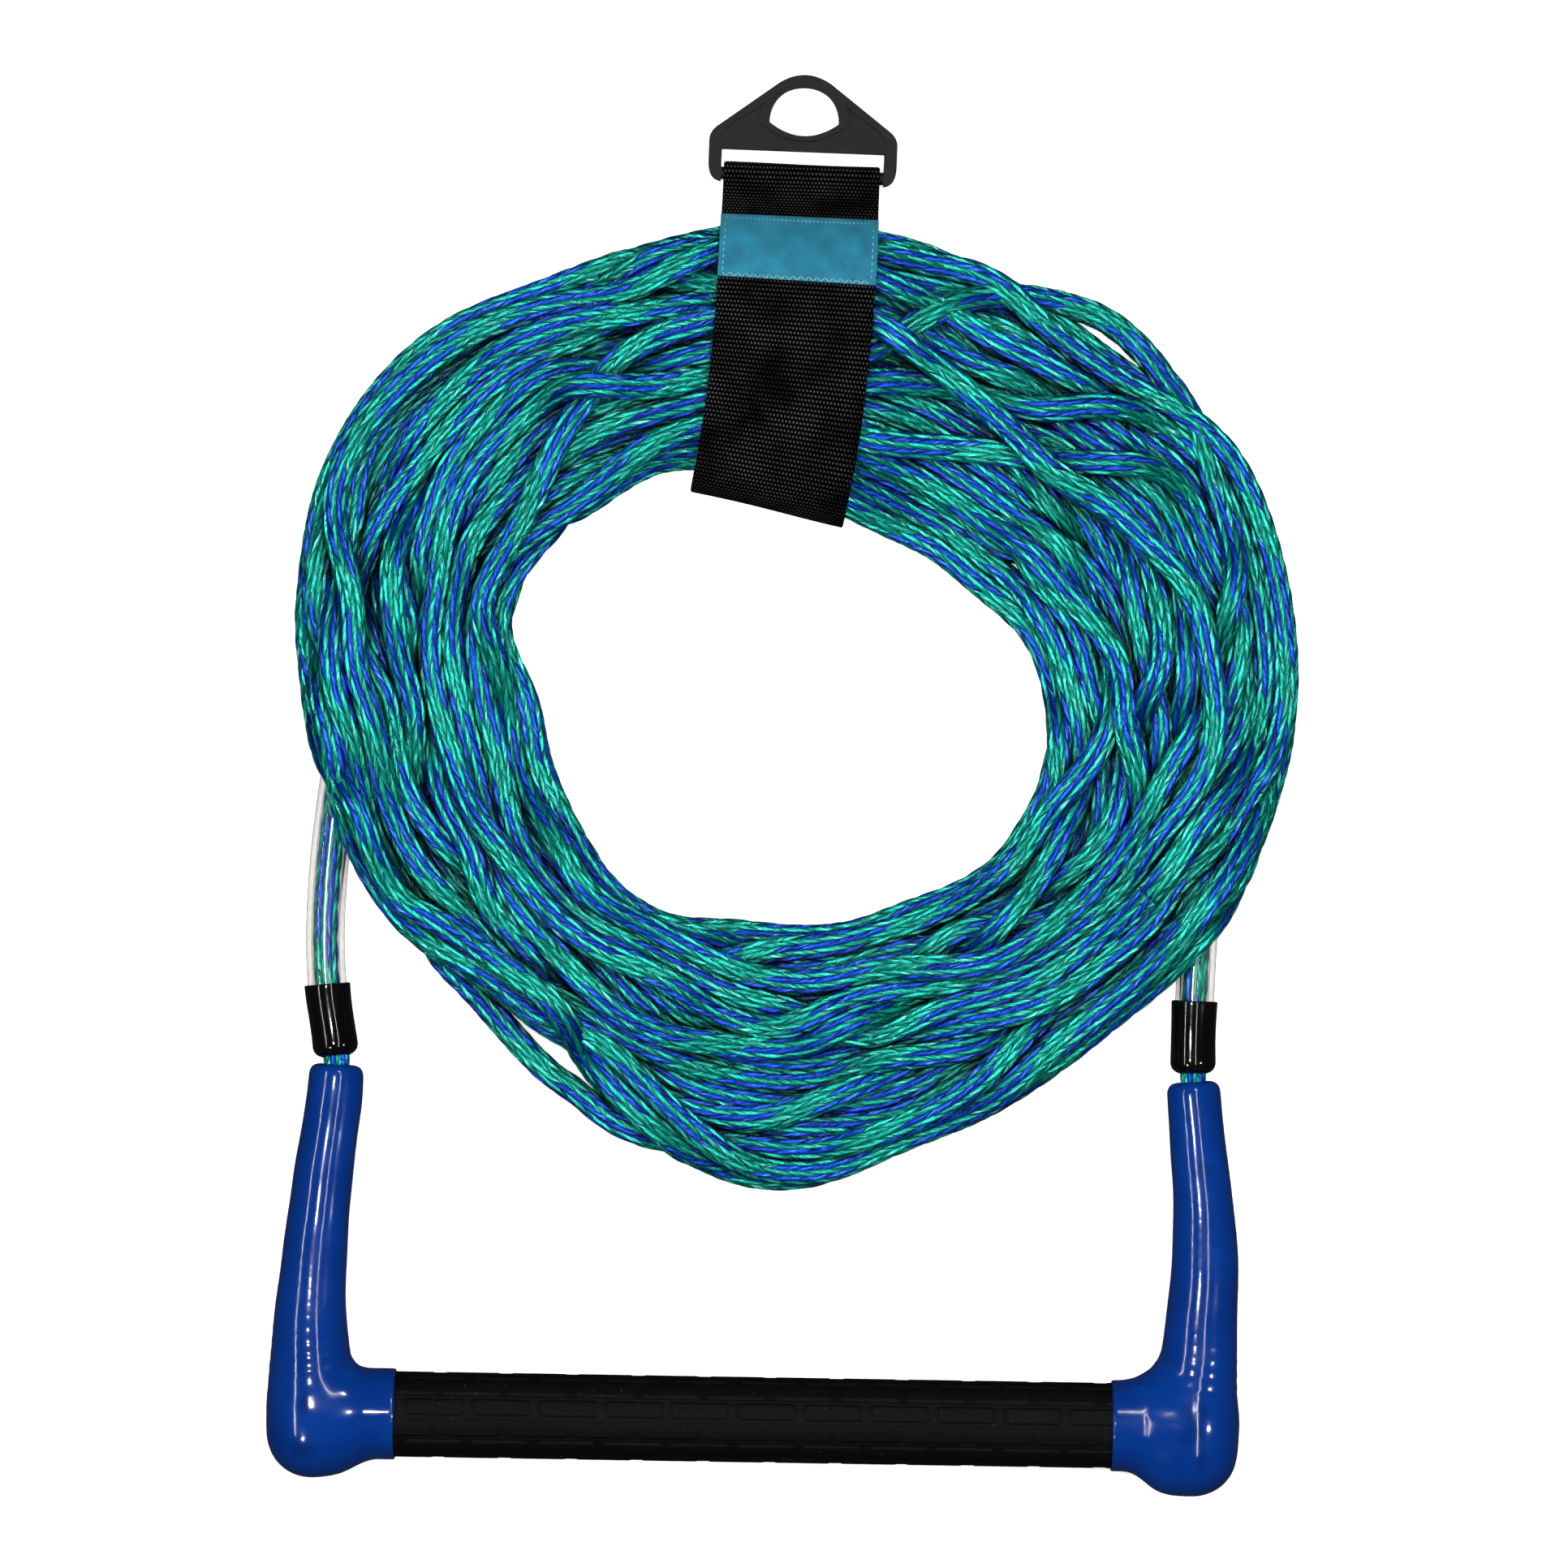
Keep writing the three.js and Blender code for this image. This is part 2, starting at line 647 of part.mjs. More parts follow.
/** A tall block round everything within the strap's width. */
function strapZone() {
  const [low, high, tall] = [60, 215, 70];
  const block = new THREE.BoxGeometry(WEBBING_WIDTH + 6 * GAP, high - low, tall, 1, 24, 1);
  return leaned(closed(block.translate(0, (low + high) / 2, tall / 2 - 10)));
}

/** The coiled line, with room for the strap round it and the bridle under it. */
function mainLineCoil() {
  const cutByStrap = toSolid(strapZone()).subtract(toSolid(insideStrap()));
  const underBridle = sweptBar(bridleCurve, () => CAP_RADIUS + 1, 10, 36);
  const lowered = underBridle.clone().translate(0, 0, -6);
  const seizing = seizingBar(GAP);
  return fromSolid(
    toSolid(coilRing())
      .subtract(cutByStrap)
      .subtract(toSolid(underBridle))
      .subtract(toSolid(lowered))
      .subtract(toSolid(seizing))
      .subtract(toSolid(seizing.clone().translate(0, 0, -6))),
  );
}

// ---------------------------------------------------------------- hanger
/** The hanger's outline about the middle of its bar, grown or shrunk by inset. */
function hangerOutline(inset) {
  const half = 29.9 - inset;
  const shoulder = 13.2;
  const top = 32 - inset;
  const foot = -2.6 + inset;
  const shape = new THREE.Shape();
  shape.moveTo(-half + 5, foot);
  shape.lineTo(half - 5, foot);
  shape.quadraticCurveTo(half, foot, half, foot + 6);
  shape.lineTo(half, shoulder - 3);
  shape.quadraticCurveTo(half, shoulder, half - 3, shoulder + 2);
  shape.lineTo(8, top - 2.6);
  shape.quadraticCurveTo(0, top + 2.4, -8, top - 2.6);
  shape.lineTo(-half + 3, shoulder + 2);
  shape.quadraticCurveTo(-half, shoulder, -half, shoulder - 3);
  shape.lineTo(-half, foot + 6);
  shape.quadraticCurveTo(-half, foot, -half + 5, foot);
  return shape;
}

/** The D-shaped peg hole, grown by margin. */
function pegHole(margin) {
  const [half, low, rise] = [11 + margin, 16.6, 11.4 + margin];
  const path = new THREE.Path();
  path.moveTo(half, low);
  path.bezierCurveTo(half, low + rise * 0.62, half * 0.6, low + rise, 0, low + rise);
  path.bezierCurveTo(-half * 0.6, low + rise, -half, low + rise * 0.62, -half, low);
  path.quadraticCurveTo(0, low - 8.2 - margin, half, low);
  return path;
}

function slab(shape, thickness, z = 0) {
  const geometry = new THREE.ExtrudeGeometry(shape, {
    depth: thickness,
    bevelEnabled: false,
    curveSegments: 10,
  });
  return toSolid(geometry.translate(0, 0, z - thickness / 2));
}

/** The hanger: a raised rim round a thinner web, a ridge over the slot and a round bar below it. */
function hanger() {
  const rim = slab(hangerOutline(0), HANGER_THICKNESS).subtract(
    slab(hangerOutline(3.4), HANGER_THICKNESS + 2),
  );
  const web = slab(hangerOutline(1), HANGER_WEB);
  const boss = slab(new THREE.Shape(pegHole(3.2).getPoints(12)), HANGER_THICKNESS);
  const hole = slab(new THREE.Shape(pegHole(0).getPoints(16)), HANGER_THICKNESS + 2);
  const ridge = new THREE.BoxGeometry(SLOT_WIDTH + 2, 3, HANGER_THICKNESS - 0.8);
  ridge.translate(0, SLOT_TOP + 1.6, 0);
  const slot = new THREE.BoxGeometry(SLOT_WIDTH, SLOT_TOP + 12, 20);
  slot.translate(0, (SLOT_TOP - 12) / 2, 0);
  const bar = new THREE.CylinderGeometry(
    HANGER_BAR_RADIUS,
    HANGER_BAR_RADIUS,
    SLOT_WIDTH + 2,
    20,
  ).rotateZ(Math.PI / 2);
  const body = rim.add(web).add(boss.intersect(slab(hangerOutline(0), 10))).add(toSolid(ridge));
  return closed(fromSolid(body.subtract(hole).subtract(toSolid(slot)).add(toSolid(bar))));
}

// ---------------------------------------------------------------- assembly
function node(name, geometry, finish) {
  const mesh = new THREE.Mesh(geometry, finish);
  mesh.name = name;
  return mesh;
}

const group = new THREE.Group();

const handleBar = new THREE.Group();
handleBar.position.set(0, BAR_Y, BAR_Z);
handleBar.rotation.z = BAR_TILT;
handleBar.add(node("grip_sleeve", gripSleeve(), blackRubber));
handleBar.add(node("handle_tube", handleTube(), aluminium));
group.add(handleBar);

group.add(node("handle_rope", handleRope(), greenRope));
group.add(node("bridle_rope", bridleRope(), greenRope));
for (const [name, side] of [
  ["left", -1],
  ["right", 1],
]) {
  group.add(node(`boot_${name}`, boot(name, side), blueVinyl));
  group.add(node(`end_plug_${name}`, endPlug(name, side), blackPlastic));
  group.add(node(`clear_tube_${name}`, clearTube(side), clearVinyl));
  const lower = endCap(side, LOWER_CAP_START, LOWER_CAP_START + CAP_LENGTH, 4);
  const upper = endCap(side, UPPER_CAP_END, UPPER_CAP_END - CAP_LENGTH, 2);
  group.add(node(`lower_cap_${name}`, lower, glossBlack));
  group.add(node(`upper_cap_${name}`, upper, glossBlack));
}
group.add(node("bridle_seizing", bridleSeizing(), glossBlack));
group.add(node("main_line_coil", mainLineCoil(), greenRope));

group.add(node("strap_webbing", strapWebbing(), blackWebbing));
const PATCH_OFFSET = WEBBING_THICKNESS / 2 + GAP + PATCH_THICKNESS / 2;
group.add(node("loop_patch", patch(TAIL_Z + PATCH_OFFSET), blackWebbing));
group.add(node("hook_patch", patch(REAR_Z - PATCH_OFFSET), blackWebbing));
group.add(node("strap_label", strapLabel(), tealLabel));

const hangerMesh = node("hanger", hanger(), blackPlastic);
hangerMesh.position.copy(HANGER_BAR);
hangerMesh.rotation.z = -STRAP_TOP_LEAN;
group.add(hangerMesh);

export default group;
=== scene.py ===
"""Tow rope handle: the looks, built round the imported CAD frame. Everything is in metres."""
import itertools
import math

import bpy
import numpy as np
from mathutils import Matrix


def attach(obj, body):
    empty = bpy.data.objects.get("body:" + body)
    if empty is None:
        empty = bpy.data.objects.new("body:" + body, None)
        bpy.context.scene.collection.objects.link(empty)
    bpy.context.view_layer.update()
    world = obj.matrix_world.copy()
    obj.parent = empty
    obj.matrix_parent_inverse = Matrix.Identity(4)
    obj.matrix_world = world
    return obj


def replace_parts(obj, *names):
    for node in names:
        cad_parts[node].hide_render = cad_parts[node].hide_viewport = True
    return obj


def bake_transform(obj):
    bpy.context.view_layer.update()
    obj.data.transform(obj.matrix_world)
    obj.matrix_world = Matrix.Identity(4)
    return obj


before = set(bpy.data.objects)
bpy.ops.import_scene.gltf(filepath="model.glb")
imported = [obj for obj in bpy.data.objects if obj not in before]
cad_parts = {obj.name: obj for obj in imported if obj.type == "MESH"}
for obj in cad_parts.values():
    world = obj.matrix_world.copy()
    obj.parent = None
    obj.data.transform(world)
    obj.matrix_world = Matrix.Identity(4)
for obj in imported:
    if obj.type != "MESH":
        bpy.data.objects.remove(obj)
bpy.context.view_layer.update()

TURN = 2 * math.pi
MM = 0.001
ROPE = 0.008  # the rope's diameter
BRAID_PITCH = 0.055  # one whole turn of a yarn round the rope
CARRIERS = 6  # yarns that wind each way
TRACERS = 4  # of the yarns that wind one way, how many are blue
SLANT = 0.62  # how far a yarn runs on along the rope, in crossings, while it lies on top
UP = np.array([0.0, 0.0, 1.0])

# The handle bar, its boots and the caps, as in the CAD source.
BAR_CENTRE = np.array([0.0, -201.15, 14.5]) * MM
BAR_TILT = math.radians(-0.94)
GRIP_RADIUS = 13.5 * MM
GRIP_HALF = 118 * MM
TUBE_RADIUS = 11 * MM
COLLAR_RADIUS = 14.4 * MM
COLLAR_END = 113.1 * MM
CAP_RADIUS = 7.35 * MM
CAP_LENGTH = 23 * MM
CAP_FLOOR = 2.6 * MM
CLEAR_RADIUS = 6.2 * MM
CLEAR_BORE = 4.6 * MM
CLEAR_LENGTH = 200 * MM
NECK_GAP = 3.4 * MM  # from a lower cap to its boot, in the CAD
END_GAP = 0.8 * MM  # between a clear tube's end and its cap's floor
LOWER_CAP_START = NECK_GAP / 2
CLEAR_START = LOWER_CAP_START + CAP_FLOOR + END_GAP
UPPER_CAP_END = CLEAR_START + CLEAR_LENGTH + END_GAP + CAP_FLOOR

BRIDLE_ROUTE = np.array([
    (-132, -87.6, 8.4), (-132.9, -80, 7.9), (-134.9, -66, 7.5), (-135.7, -50, 7.1),
    (-135.2, -34, 6.8), (-133.6, -16, 6.7), (-130, 8, 6.7), (-123.5, 34, 6.7),
    (-113, 60, 6.8), (-99, 84, 7.5), (-81, 106, 7.6), (-60, 124, 6.6), (-36, 137, 7.4),
    (-10, 144, 9.4), (15, 146, 9.6), (42, 143, 9), (68, 135, 5.4), (92, 121, 5),
    (112, 102, 7.6), (127, 79, 7.5), (136, 54, 6.8), (140.5, 28, 6.7), (142, 2, 6.7),
    (141.8, -24, 6.7), (141, -48, 7.1), (140, -68, 7.5), (139.5, -82, 7.9), (139.4, -93.2, 8.4),
]) * MM  # fmt: skip

# Centre line and radius of each boot's leg, from the elbow up to the neck.
LEGS = {
    "left": np.array([
        (-139, -204.9, 14.5, 14), (-139.4, -192, 14.5, 14), (-140, -180, 14.2, 12.6),
        (-140, -168, 13.6, 11.4), (-139.3, -155, 12.8, 10.6), (-138.1, -141, 11.8, 9.9),
        (-136.4, -126, 10.8, 9.4), (-134.2, -110, 9.8, 9.1), (-132.6, -98, 9.1, 8.8),
        (-132, -89.3, 8.8, 8.6),
    ]) * MM,
    "right": np.array([
        (138.4, -210.8, 14.5, 14.1), (139, -197, 14.5, 13.9), (140.7, -184, 14.2, 12.4),
        (141.7, -172, 13.6, 11.4), (142.7, -158, 12.8, 10.9), (142.9, -143, 11.8, 10.1),
        (142.1, -128, 10.8, 9.2), (141.1, -116, 9.9, 8.9), (139.9, -103, 9.1, 8.6),
        (139.4, -94.9, 8.8, 8.4),
    ]) * MM,
}  # fmt: skip

# The flattened bottom of each elbow, from end to end.
ELBOWS = {
    "left": np.array([(-140.2, -205.6, 14.5), (-134.4, -205.4, 14.5)]) * MM,
    "right": np.array([(133.6, -211.9, 14.5), (139.4, -211.8, 14.5)]) * MM,
}


# ---------------------------------------------------------------- curves and meshes
def distances(points):
    """How far along a polyline each of its points is."""
    gaps = np.linalg.norm(np.diff(points[:, :3], axis=0), axis=1)
    return np.concatenate([[0], np.cumsum(gaps)])


def evenly(points, step):
    """Points about every step along a polyline, ends kept."""
    along = distances(points)
    at = np.linspace(0, along[-1], max(2, int(round(along[-1] / step)) + 1))
    return np.stack([np.interp(at, along, column) for column in points.T], 1)


def smooth_curve(points, step, pieces=40):
    """Points every step along a centripetal Catmull-Rom curve. Columns past the third ride along."""
    p = np.vstack([2 * points[0] - points[1], points, 2 * points[-1] - points[-2]])
    made = []
    for k in range(1, len(p) - 2):
        a, b, c, d = p[k - 1:k + 3]
        knots = [0.0]
        for one, two in ((a, b), (b, c), (c, d)):
            knots.append(knots[-1] + math.sqrt(np.linalg.norm((two - one)[:3])))
        t0, t1, t2, t3 = knots
        t = np.linspace(t1, t2, pieces + 1)[:-1, None]
        a1 = (t1 - t) / (t1 - t0) * a + (t - t0) / (t1 - t0) * b
        a2 = (t2 - t) / (t2 - t1) * b + (t - t1) / (t2 - t1) * c
        a3 = (t3 - t) / (t3 - t2) * c + (t - t2) / (t3 - t2) * d
        b1 = (t2 - t) / (t2 - t0) * a1 + (t - t0) / (t2 - t0) * a2
        b2 = (t3 - t) / (t3 - t1) * a2 + (t - t1) / (t3 - t1) * a3
        made.append((t2 - t) / (t2 - t1) * b1 + (t - t1) / (t2 - t1) * b2)
    return evenly(np.vstack(made + [points[-1:]]), step)


def length_of(points):
    """The length of a polyline."""
    return float(np.linalg.norm(np.diff(points[:, :3], axis=0), axis=1).sum())


def stretch(points, start, end, step):
    """The part of a polyline between two distances along it."""
    at = np.linspace(start, end, max(2, int(round(abs(end - start) / step)) + 1))
    return np.stack([np.interp(at, distances(points), column) for column in points.T], 1)


def eased_in(share):
    """A share from 0 to 1, with a soft start and a soft end."""
    return share * share * (3 - 2 * share)


def waypoints(line):
    """Every fourth point of a line, and its last."""
    return line[::4].tolist() + [line[-1].tolist()]


def frames(path):
    """Unit vectors along the path, level sideways and upwards at each of its points."""
    ahead = np.gradient(path, axis=0)
    ahead /= np.linalg.norm(ahead, axis=1, keepdims=True)
    side = np.cross(UP, ahead)
    side /= np.linalg.norm(side, axis=1, keepdims=True)
    return ahead, side, np.cross(ahead, side)


def mesh_object(name, points, quads, body, material, uv=None, caps=()):
    """An object from points, four-sided faces, and any end caps, which are lists of points."""
    mesh = bpy.data.meshes.new(name)
    quads = np.asarray(quads, np.int32)
    corners = np.concatenate([quads.ravel()] + [np.asarray(cap, np.int32) for cap in caps])
    sizes = np.concatenate([np.full(len(quads), 4)] + [[len(cap)] for cap in caps]).astype(np.int32)
    mesh.vertices.add(len(points))
    mesh.loops.add(len(corners))
    mesh.polygons.add(len(sizes))
    mesh.vertices.foreach_set("co", np.asarray(points, np.float32).ravel())
    mesh.loops.foreach_set("vertex_index", corners)
    starts = np.concatenate([[0], np.cumsum(sizes)[:-1]]).astype(np.int32)
    mesh.polygons.foreach_set("loop_start", starts)
    mesh.polygons.foreach_set("loop_total", sizes)
    mesh.polygons.foreach_set("use_smooth", np.full(len(sizes), True))
    if uv is not None:
        layer = mesh.uv_layers.new(name="pattern")
        full = np.zeros((len(corners), 2), np.float32)
        full[: len(uv)] = uv
        layer.data.foreach_set("uv", full.ravel())
    mesh.update(calc_edges=True)
    mesh.materials.append(material)
    made = bpy.data.objects.new(name, mesh)
    bpy.context.scene.collection.objects.link(made)
    if body:
        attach(made, body)
    return made


def wrap_quads(rings, sides, loop=False):
    """Faces of a tube of rings, each of sides points. With loop, the last ring joins the first."""
    ring = np.arange(rings if loop else rings - 1)[:, None]
    side = np.arange(sides)[None, :]
    after = (ring + 1) % rings
    beside = (side + 1) % sides
    quads = [ring * sides + side, ring * sides + beside, after * sides + beside, after * sides + side]
    return np.stack(quads, -1).reshape(-1, 4)


def ring_mesh(name, rings, body, material, uv=None):
    """A closed rope or band: rings of points, one after another, with a face over each end."""
    count, sides = rings.shape[:2]
    first = list(range(sides))
    last = [(count - 1) * sides + k for k in first]
    quads = wrap_quads(count, sides)
    return mesh_object(name, rings.reshape(-1, 3), quads, body, material, uv, [first[::-1], last])


def wrap_uv(rings, sides, around, along, wrap=1.0):
    """Pattern coordinates of a tube's faces: around runs over each ring, along from ring to ring."""
    u = np.append(around, around[0] + wrap)
    ring = np.arange(rings - 1)[:, None]
    side = np.arange(sides)[None, :]
    corners = [
        np.stack([u[side + beside] + 0 * ring, along[ring + after] + 0 * side], -1)
        for beside, after in ((0, 0), (1, 0), (1, 1), (0, 1))
    ]
    return np.stack(corners, 2).reshape(-1, 2)


def lathe_along(path, profile, sides):
    """Rings of a closed pipe: profile is a loop of (distance along the path, radius) pairs."""
    ahead, side, up = frames(path)
    along = distances(path)
    at, radius = np.array(profile).T
    inside = np.clip(at, 0, along[-1])
    centre, forward, across, over = (
        np.stack([np.interp(inside, along, column) for column in rows.T], 1)
        for rows in (path, ahead, side, up)
    )
    centre = centre + forward * (at - inside)[:, None]
    angle = (np.arange(sides) / sides * TURN)[None, :, None]
    spokes = np.cos(angle) * across[:, None] + np.sin(angle) * over[:, None]
    return (centre[:, None] + radius[:, None, None] * spokes).reshape(-1, 3)


# ---------------------------------------------------------------- materials
class Wire:
    """A value in a material's node tree. Arithmetic on wires adds the nodes that work it out."""

    def __init__(self, nodes, socket):
        self.nodes = nodes
        self.socket = socket

    def __add__(self, other):
        return self.nodes.math("ADD", self, other)

    def __sub__(self, other):
        return self.nodes.math("SUBTRACT", self, other)

    def __rsub__(self, other):
        return self.nodes.math("SUBTRACT", other, self)

    def __mul__(self, other):
        return self.nodes.math("MULTIPLY", self, other)

    def __truediv__(self, other):
        return self.nodes.math("DIVIDE", self, other)

    def __mod__(self, other):
        return self.nodes.math("FLOORED_MODULO", self, other)

    def __pow__(self, other):
        return self.nodes.math("POWER", self, other)

    def __lt__(self, other):
        return self.nodes.math("LESS_THAN", self, other)

    def __gt__(self, other):
        return self.nodes.math("GREATER_THAN", self, other)

    def floor(self):
        return self.nodes.math("FLOOR", self)

    def fract(self):
        return self.nodes.math("FRACT", self)

    def sine(self):
        return self.nodes.math("SINE", self)

    def odd(self):
        """1 where a whole number is odd and 0 where it is even."""
        return self.nodes.math("PINGPONG", self, 1.0)


class Nodes:
    """A material's node tree, with short calls for the nodes that the materials here share."""

    def __init__(self, name):
        self.material = bpy.data.materials.new(name)
        self.material.use_nodes = True
        self.tree = self.material.node_tree
        self.shader = self.tree.nodes["Principled BSDF"]

    def add(self, kind, output=0, **inputs):
        """A new node's output, with its inputs set or linked."""
        node = self.tree.nodes.new(kind)
        for key, value in inputs.items():
            self.put(node.inputs[key.replace("_", " ")], value)
        return Wire(self, node.outputs[output])

    def put(self, socket, value):
        if isinstance(value, Wire):
            self.tree.links.new(value.socket, socket)
        else:
            socket.default_value = value

    def math(self, operation, *values):
        node = self.tree.nodes.new("ShaderNodeMath")
        node.operation = operation
        for socket, value in zip(node.inputs, values):
            self.put(socket, value)
        return Wire(self, node.outputs[0])

    def mix(self, factor, a, b):
        """A colour between a and b."""
        node = self.tree.nodes.new("ShaderNodeMix")
        node.data_type = "RGBA"
        self.put(node.inputs["Factor"], factor)
        for key, colour in (("A", a), ("B", b)):
            self.put(node.inputs[key], colour if isinstance(colour, Wire) else (*colour, 1))
        return Wire(self, node.outputs["Result"])

    def remap(self, value, low, high, to_low=0.0, to_high=1.0):
        return self.add(
            "ShaderNodeMapRange", "Result",
            Value=value, From_Min=low, From_Max=high, To_Min=to_low, To_Max=to_high,
        )  # fmt: skip

    def place(self):
        return self.add("ShaderNodeTexCoord", "Object")

    def pattern(self):
        """The two coordinates that the mesh lays out for its pattern."""
        uv = self.tree.nodes.new("ShaderNodeUVMap")
        uv.uv_map = "pattern"
        split = self.tree.nodes.new("ShaderNodeSeparateXYZ")
        self.tree.links.new(uv.outputs[0], split.inputs[0])
        return Wire(self, split.outputs["X"]), Wire(self, split.outputs["Y"])

    def distance(self, where, centre=(0, 0, 0)):
        node = self.tree.nodes.new("ShaderNodeVectorMath")
        node.operation = "DISTANCE"
        self.put(node.inputs[0], where)
        self.put(node.inputs[1], centre)
        return Wire(self, node.outputs["Value"])

    def noise(self, where, scale, detail=3.0, rough=0.55):
        return self.add(
            "ShaderNodeTexNoise", "Fac", Vector=where, Scale=scale, Detail=detail, Roughness=rough
        )

    def vector(self, x, y, z=0.0):
        return self.add("ShaderNodeCombineXYZ", X=x, Y=y, Z=z)

    def scaled(self, where, x, y, z):
        return self.add("ShaderNodeMapping", Vector=where, Scale=(x, y, z))

    def bump(self, height, distance, strength=1.0, **under):
        return self.add("ShaderNodeBump", Height=height, Distance=distance, Strength=strength, **under)

    def finish(self, colour, roughness, **others):
        self.put(self.shader.inputs["Base Color"], colour)
        self.put(self.shader.inputs["Roughness"], roughness)
        for key, value in others.items():
            self.put(self.shader.inputs[key.replace("_", " ")], value)
        return self.material


def shade_of(colour, share):
    return tuple(part * share for part in colour)


def braid_material(name, paint_gap_shade):
    """Twelve flat yarns of glossy film fibre, six wound each way, green with blue tracers, with
    painted shade in the valleys between the yarns and a painted glint on the brightest fibres. For the
    coil, an ambient occlusion node adds painted shade in the gaps between one strand and the next."""
    n = Nodes(name)
    around, along = n.pattern()
    strip = around * (2 * CARRIERS)
    column, across = strip.floor(), strip.fract()
    odd = column.odd()  # 0 in the columns where the yarns lean one way and 1 where they lean the other
    slanted = (1.0 - odd * 2.0) * SLANT * (across - 0.5)
    place = along * CARRIERS + odd * 0.5 + slanted
    crossing, over = place.floor(), place.fract()
    yarn = crossing + (column * 0.5).floor()
    tracer = (yarn % CARRIERS < TRACERS - 0.5) * (1.0 - odd)
    row = crossing * 1.7 + column * 5.3

    fibre = n.noise(n.vector(over * 6.0, across * 0.9, row), 1.0, 3.0, 0.65)
    strand = n.noise(n.vector(row * 3.1, across * 0.5), 1.0, 1.0)
    raised = (over * math.pi).sine() ** 0.7 * (across * math.pi).sine() ** 0.6

    light = n.remap(fibre * 0.6 + strand * 0.4, 0.36, 0.66)
    # painted glint: where the fibre noise is highest, the colour turns pale mint on green and pale
    # blue on blue, as highlights
    pale = n.remap(fibre, 0.60, 0.76)
    green = n.mix(light, (0.0, 0.155, 0.112), (0.003, 0.50, 0.39))
    green = n.mix(pale, green, (0.36, 1.0, 0.92))
    blue = n.mix(light, (0.0, 0.014, 0.23), (0.003, 0.085, 0.74))
    blue = n.mix(pale, blue, (0.14, 0.50, 1.0))
    # painted shade: the colour darkens to near black towards the valleys between the yarns, as shade
    # there
    painted_valley_shade = n.remap(raised, 0.0, 0.55, 0.06, 1.0)
    if paint_gap_shade:
        # painted shade: an ambient occlusion node darkens the gaps between one strand of the coil and
        # the next
        painted_occlusion = n.add("ShaderNodeAmbientOcclusion", "AO", Distance=9 * MM)
        painted_occlusion.socket.node.samples = 4
        painted_valley_shade = painted_valley_shade * n.remap(painted_occlusion, 0.22, 0.80, 0.02, 1.0)
    return n.finish(
        n.mix(painted_valley_shade, (0.0, 0.004, 0.006), n.mix(tracer, green, blue)),
        n.remap(fibre, 0.3, 0.7, 0.20, 0.36),
        Normal=n.bump(fibre * 0.8 + raised * 0.5, 0.8 * MM),
        Metallic=0.6,
        Specular_IOR_Level=0.2,
    )


def clear_material():
    """Clear vinyl tube with a faint warm haze."""
    n = Nodes("clear_tube")
    haze = n.noise(n.place(), 60.0, 2.0)
    return n.finish(
        n.mix(haze, (0.50, 0.49, 0.465), (0.57, 0.56, 0.535)),
        n.remap(haze, 0.3, 0.7, 0.02, 0.08),
        Normal=n.bump(haze, 0.4 * MM, 0.2),
        Transmission_Weight=1.0,
        IOR=1.40,
    )


def vinyl_material(name, colour, darker, roughness, stains=()):
    """Dipped vinyl: a deep gloss, faint waves under it, fine dust, and darker stains where given."""
    n = Nodes(name)
    where = n.place()
    shade = n.mix(n.remap(n.noise(where, 45.0), 0.35, 0.65), darker, colour)
    for centre, radius in stains:
        ragged = n.distance(where, centre) + n.noise(where, 260.0) * (6 * MM)
        mark = n.remap(ragged, radius * 0.55 + 3 * MM, radius + 4 * MM, 0.45, 0.0)
        shade = n.mix(mark, shade, shade_of(colour, 0.35))
    waves = n.bump(n.noise(where, 70.0, 2.0), 1.2 * MM, 0.06)
    return n.finish(
        shade,
        n.remap(n.noise(where, 120.0), 0.3, 0.7, roughness * 0.7, roughness * 1.4),
        Normal=n.bump(n.noise(where, 900.0, 2.0), 0.1 * MM, 0.03, Normal=waves),
        Coat_Weight=0.4,
        Coat_Roughness=0.06,
    )


def rubber_material():
    """Matt black rubber with a fine grain and a little pale dust."""
    n = Nodes("grip_rubber")
    where = n.place()
    grain = n.noise(where, 1400.0, 2.0)
    dust = n.noise(where, 1300.0, 0.0) > 0.845
    colour = n.mix(n.noise(where, 90.0), (0.0012, 0.0012, 0.0012), (0.0032, 0.0032, 0.0030))
    return n.finish(
        n.mix(dust, colour, (0.045, 0.045, 0.042)),
        n.remap(grain, 0.3, 0.7, 0.5, 0.7),
        Normal=n.bump(grain, 0.1 * MM, 0.5),
        Specular_IOR_Level=0.12,
    )


def plastic_material(name, colour, rough):
    """Moulded plastic with a fine spark-eroded grain and slightly rubbed high spots."""
    n = Nodes(name)
    where = n.place()
    cloud = n.noise(where, 70.0, 2.0)
    return n.finish(
        n.mix(n.remap(cloud, 0.3, 0.7), shade_of(colour, 0.75), shade_of(colour, 1.3)),
        n.remap(cloud, 0.3, 0.7, rough - 0.08, rough + 0.08),
        Normal=n.bump(n.noise(where, 1600.0, 2.0), 0.1 * MM, 0.35),
        Specular_IOR_Level=0.3,
    )


def aluminium_material():
    """Drawn tube, with fine lines along it."""
    n = Nodes("bar_aluminium")
    drawn = n.noise(n.scaled(n.place(), 8, 900, 900), 1.0, 2.0)
    return n.finish(
        n.mix(drawn, (0.50, 0.51, 0.52), (0.68, 0.69, 0.70)),
        n.remap(drawn, 0.3, 0.7, 0.28, 0.45),
        Normal=n.bump(drawn, 0.1 * MM, 0.3),
        Metallic=1.0,
    )


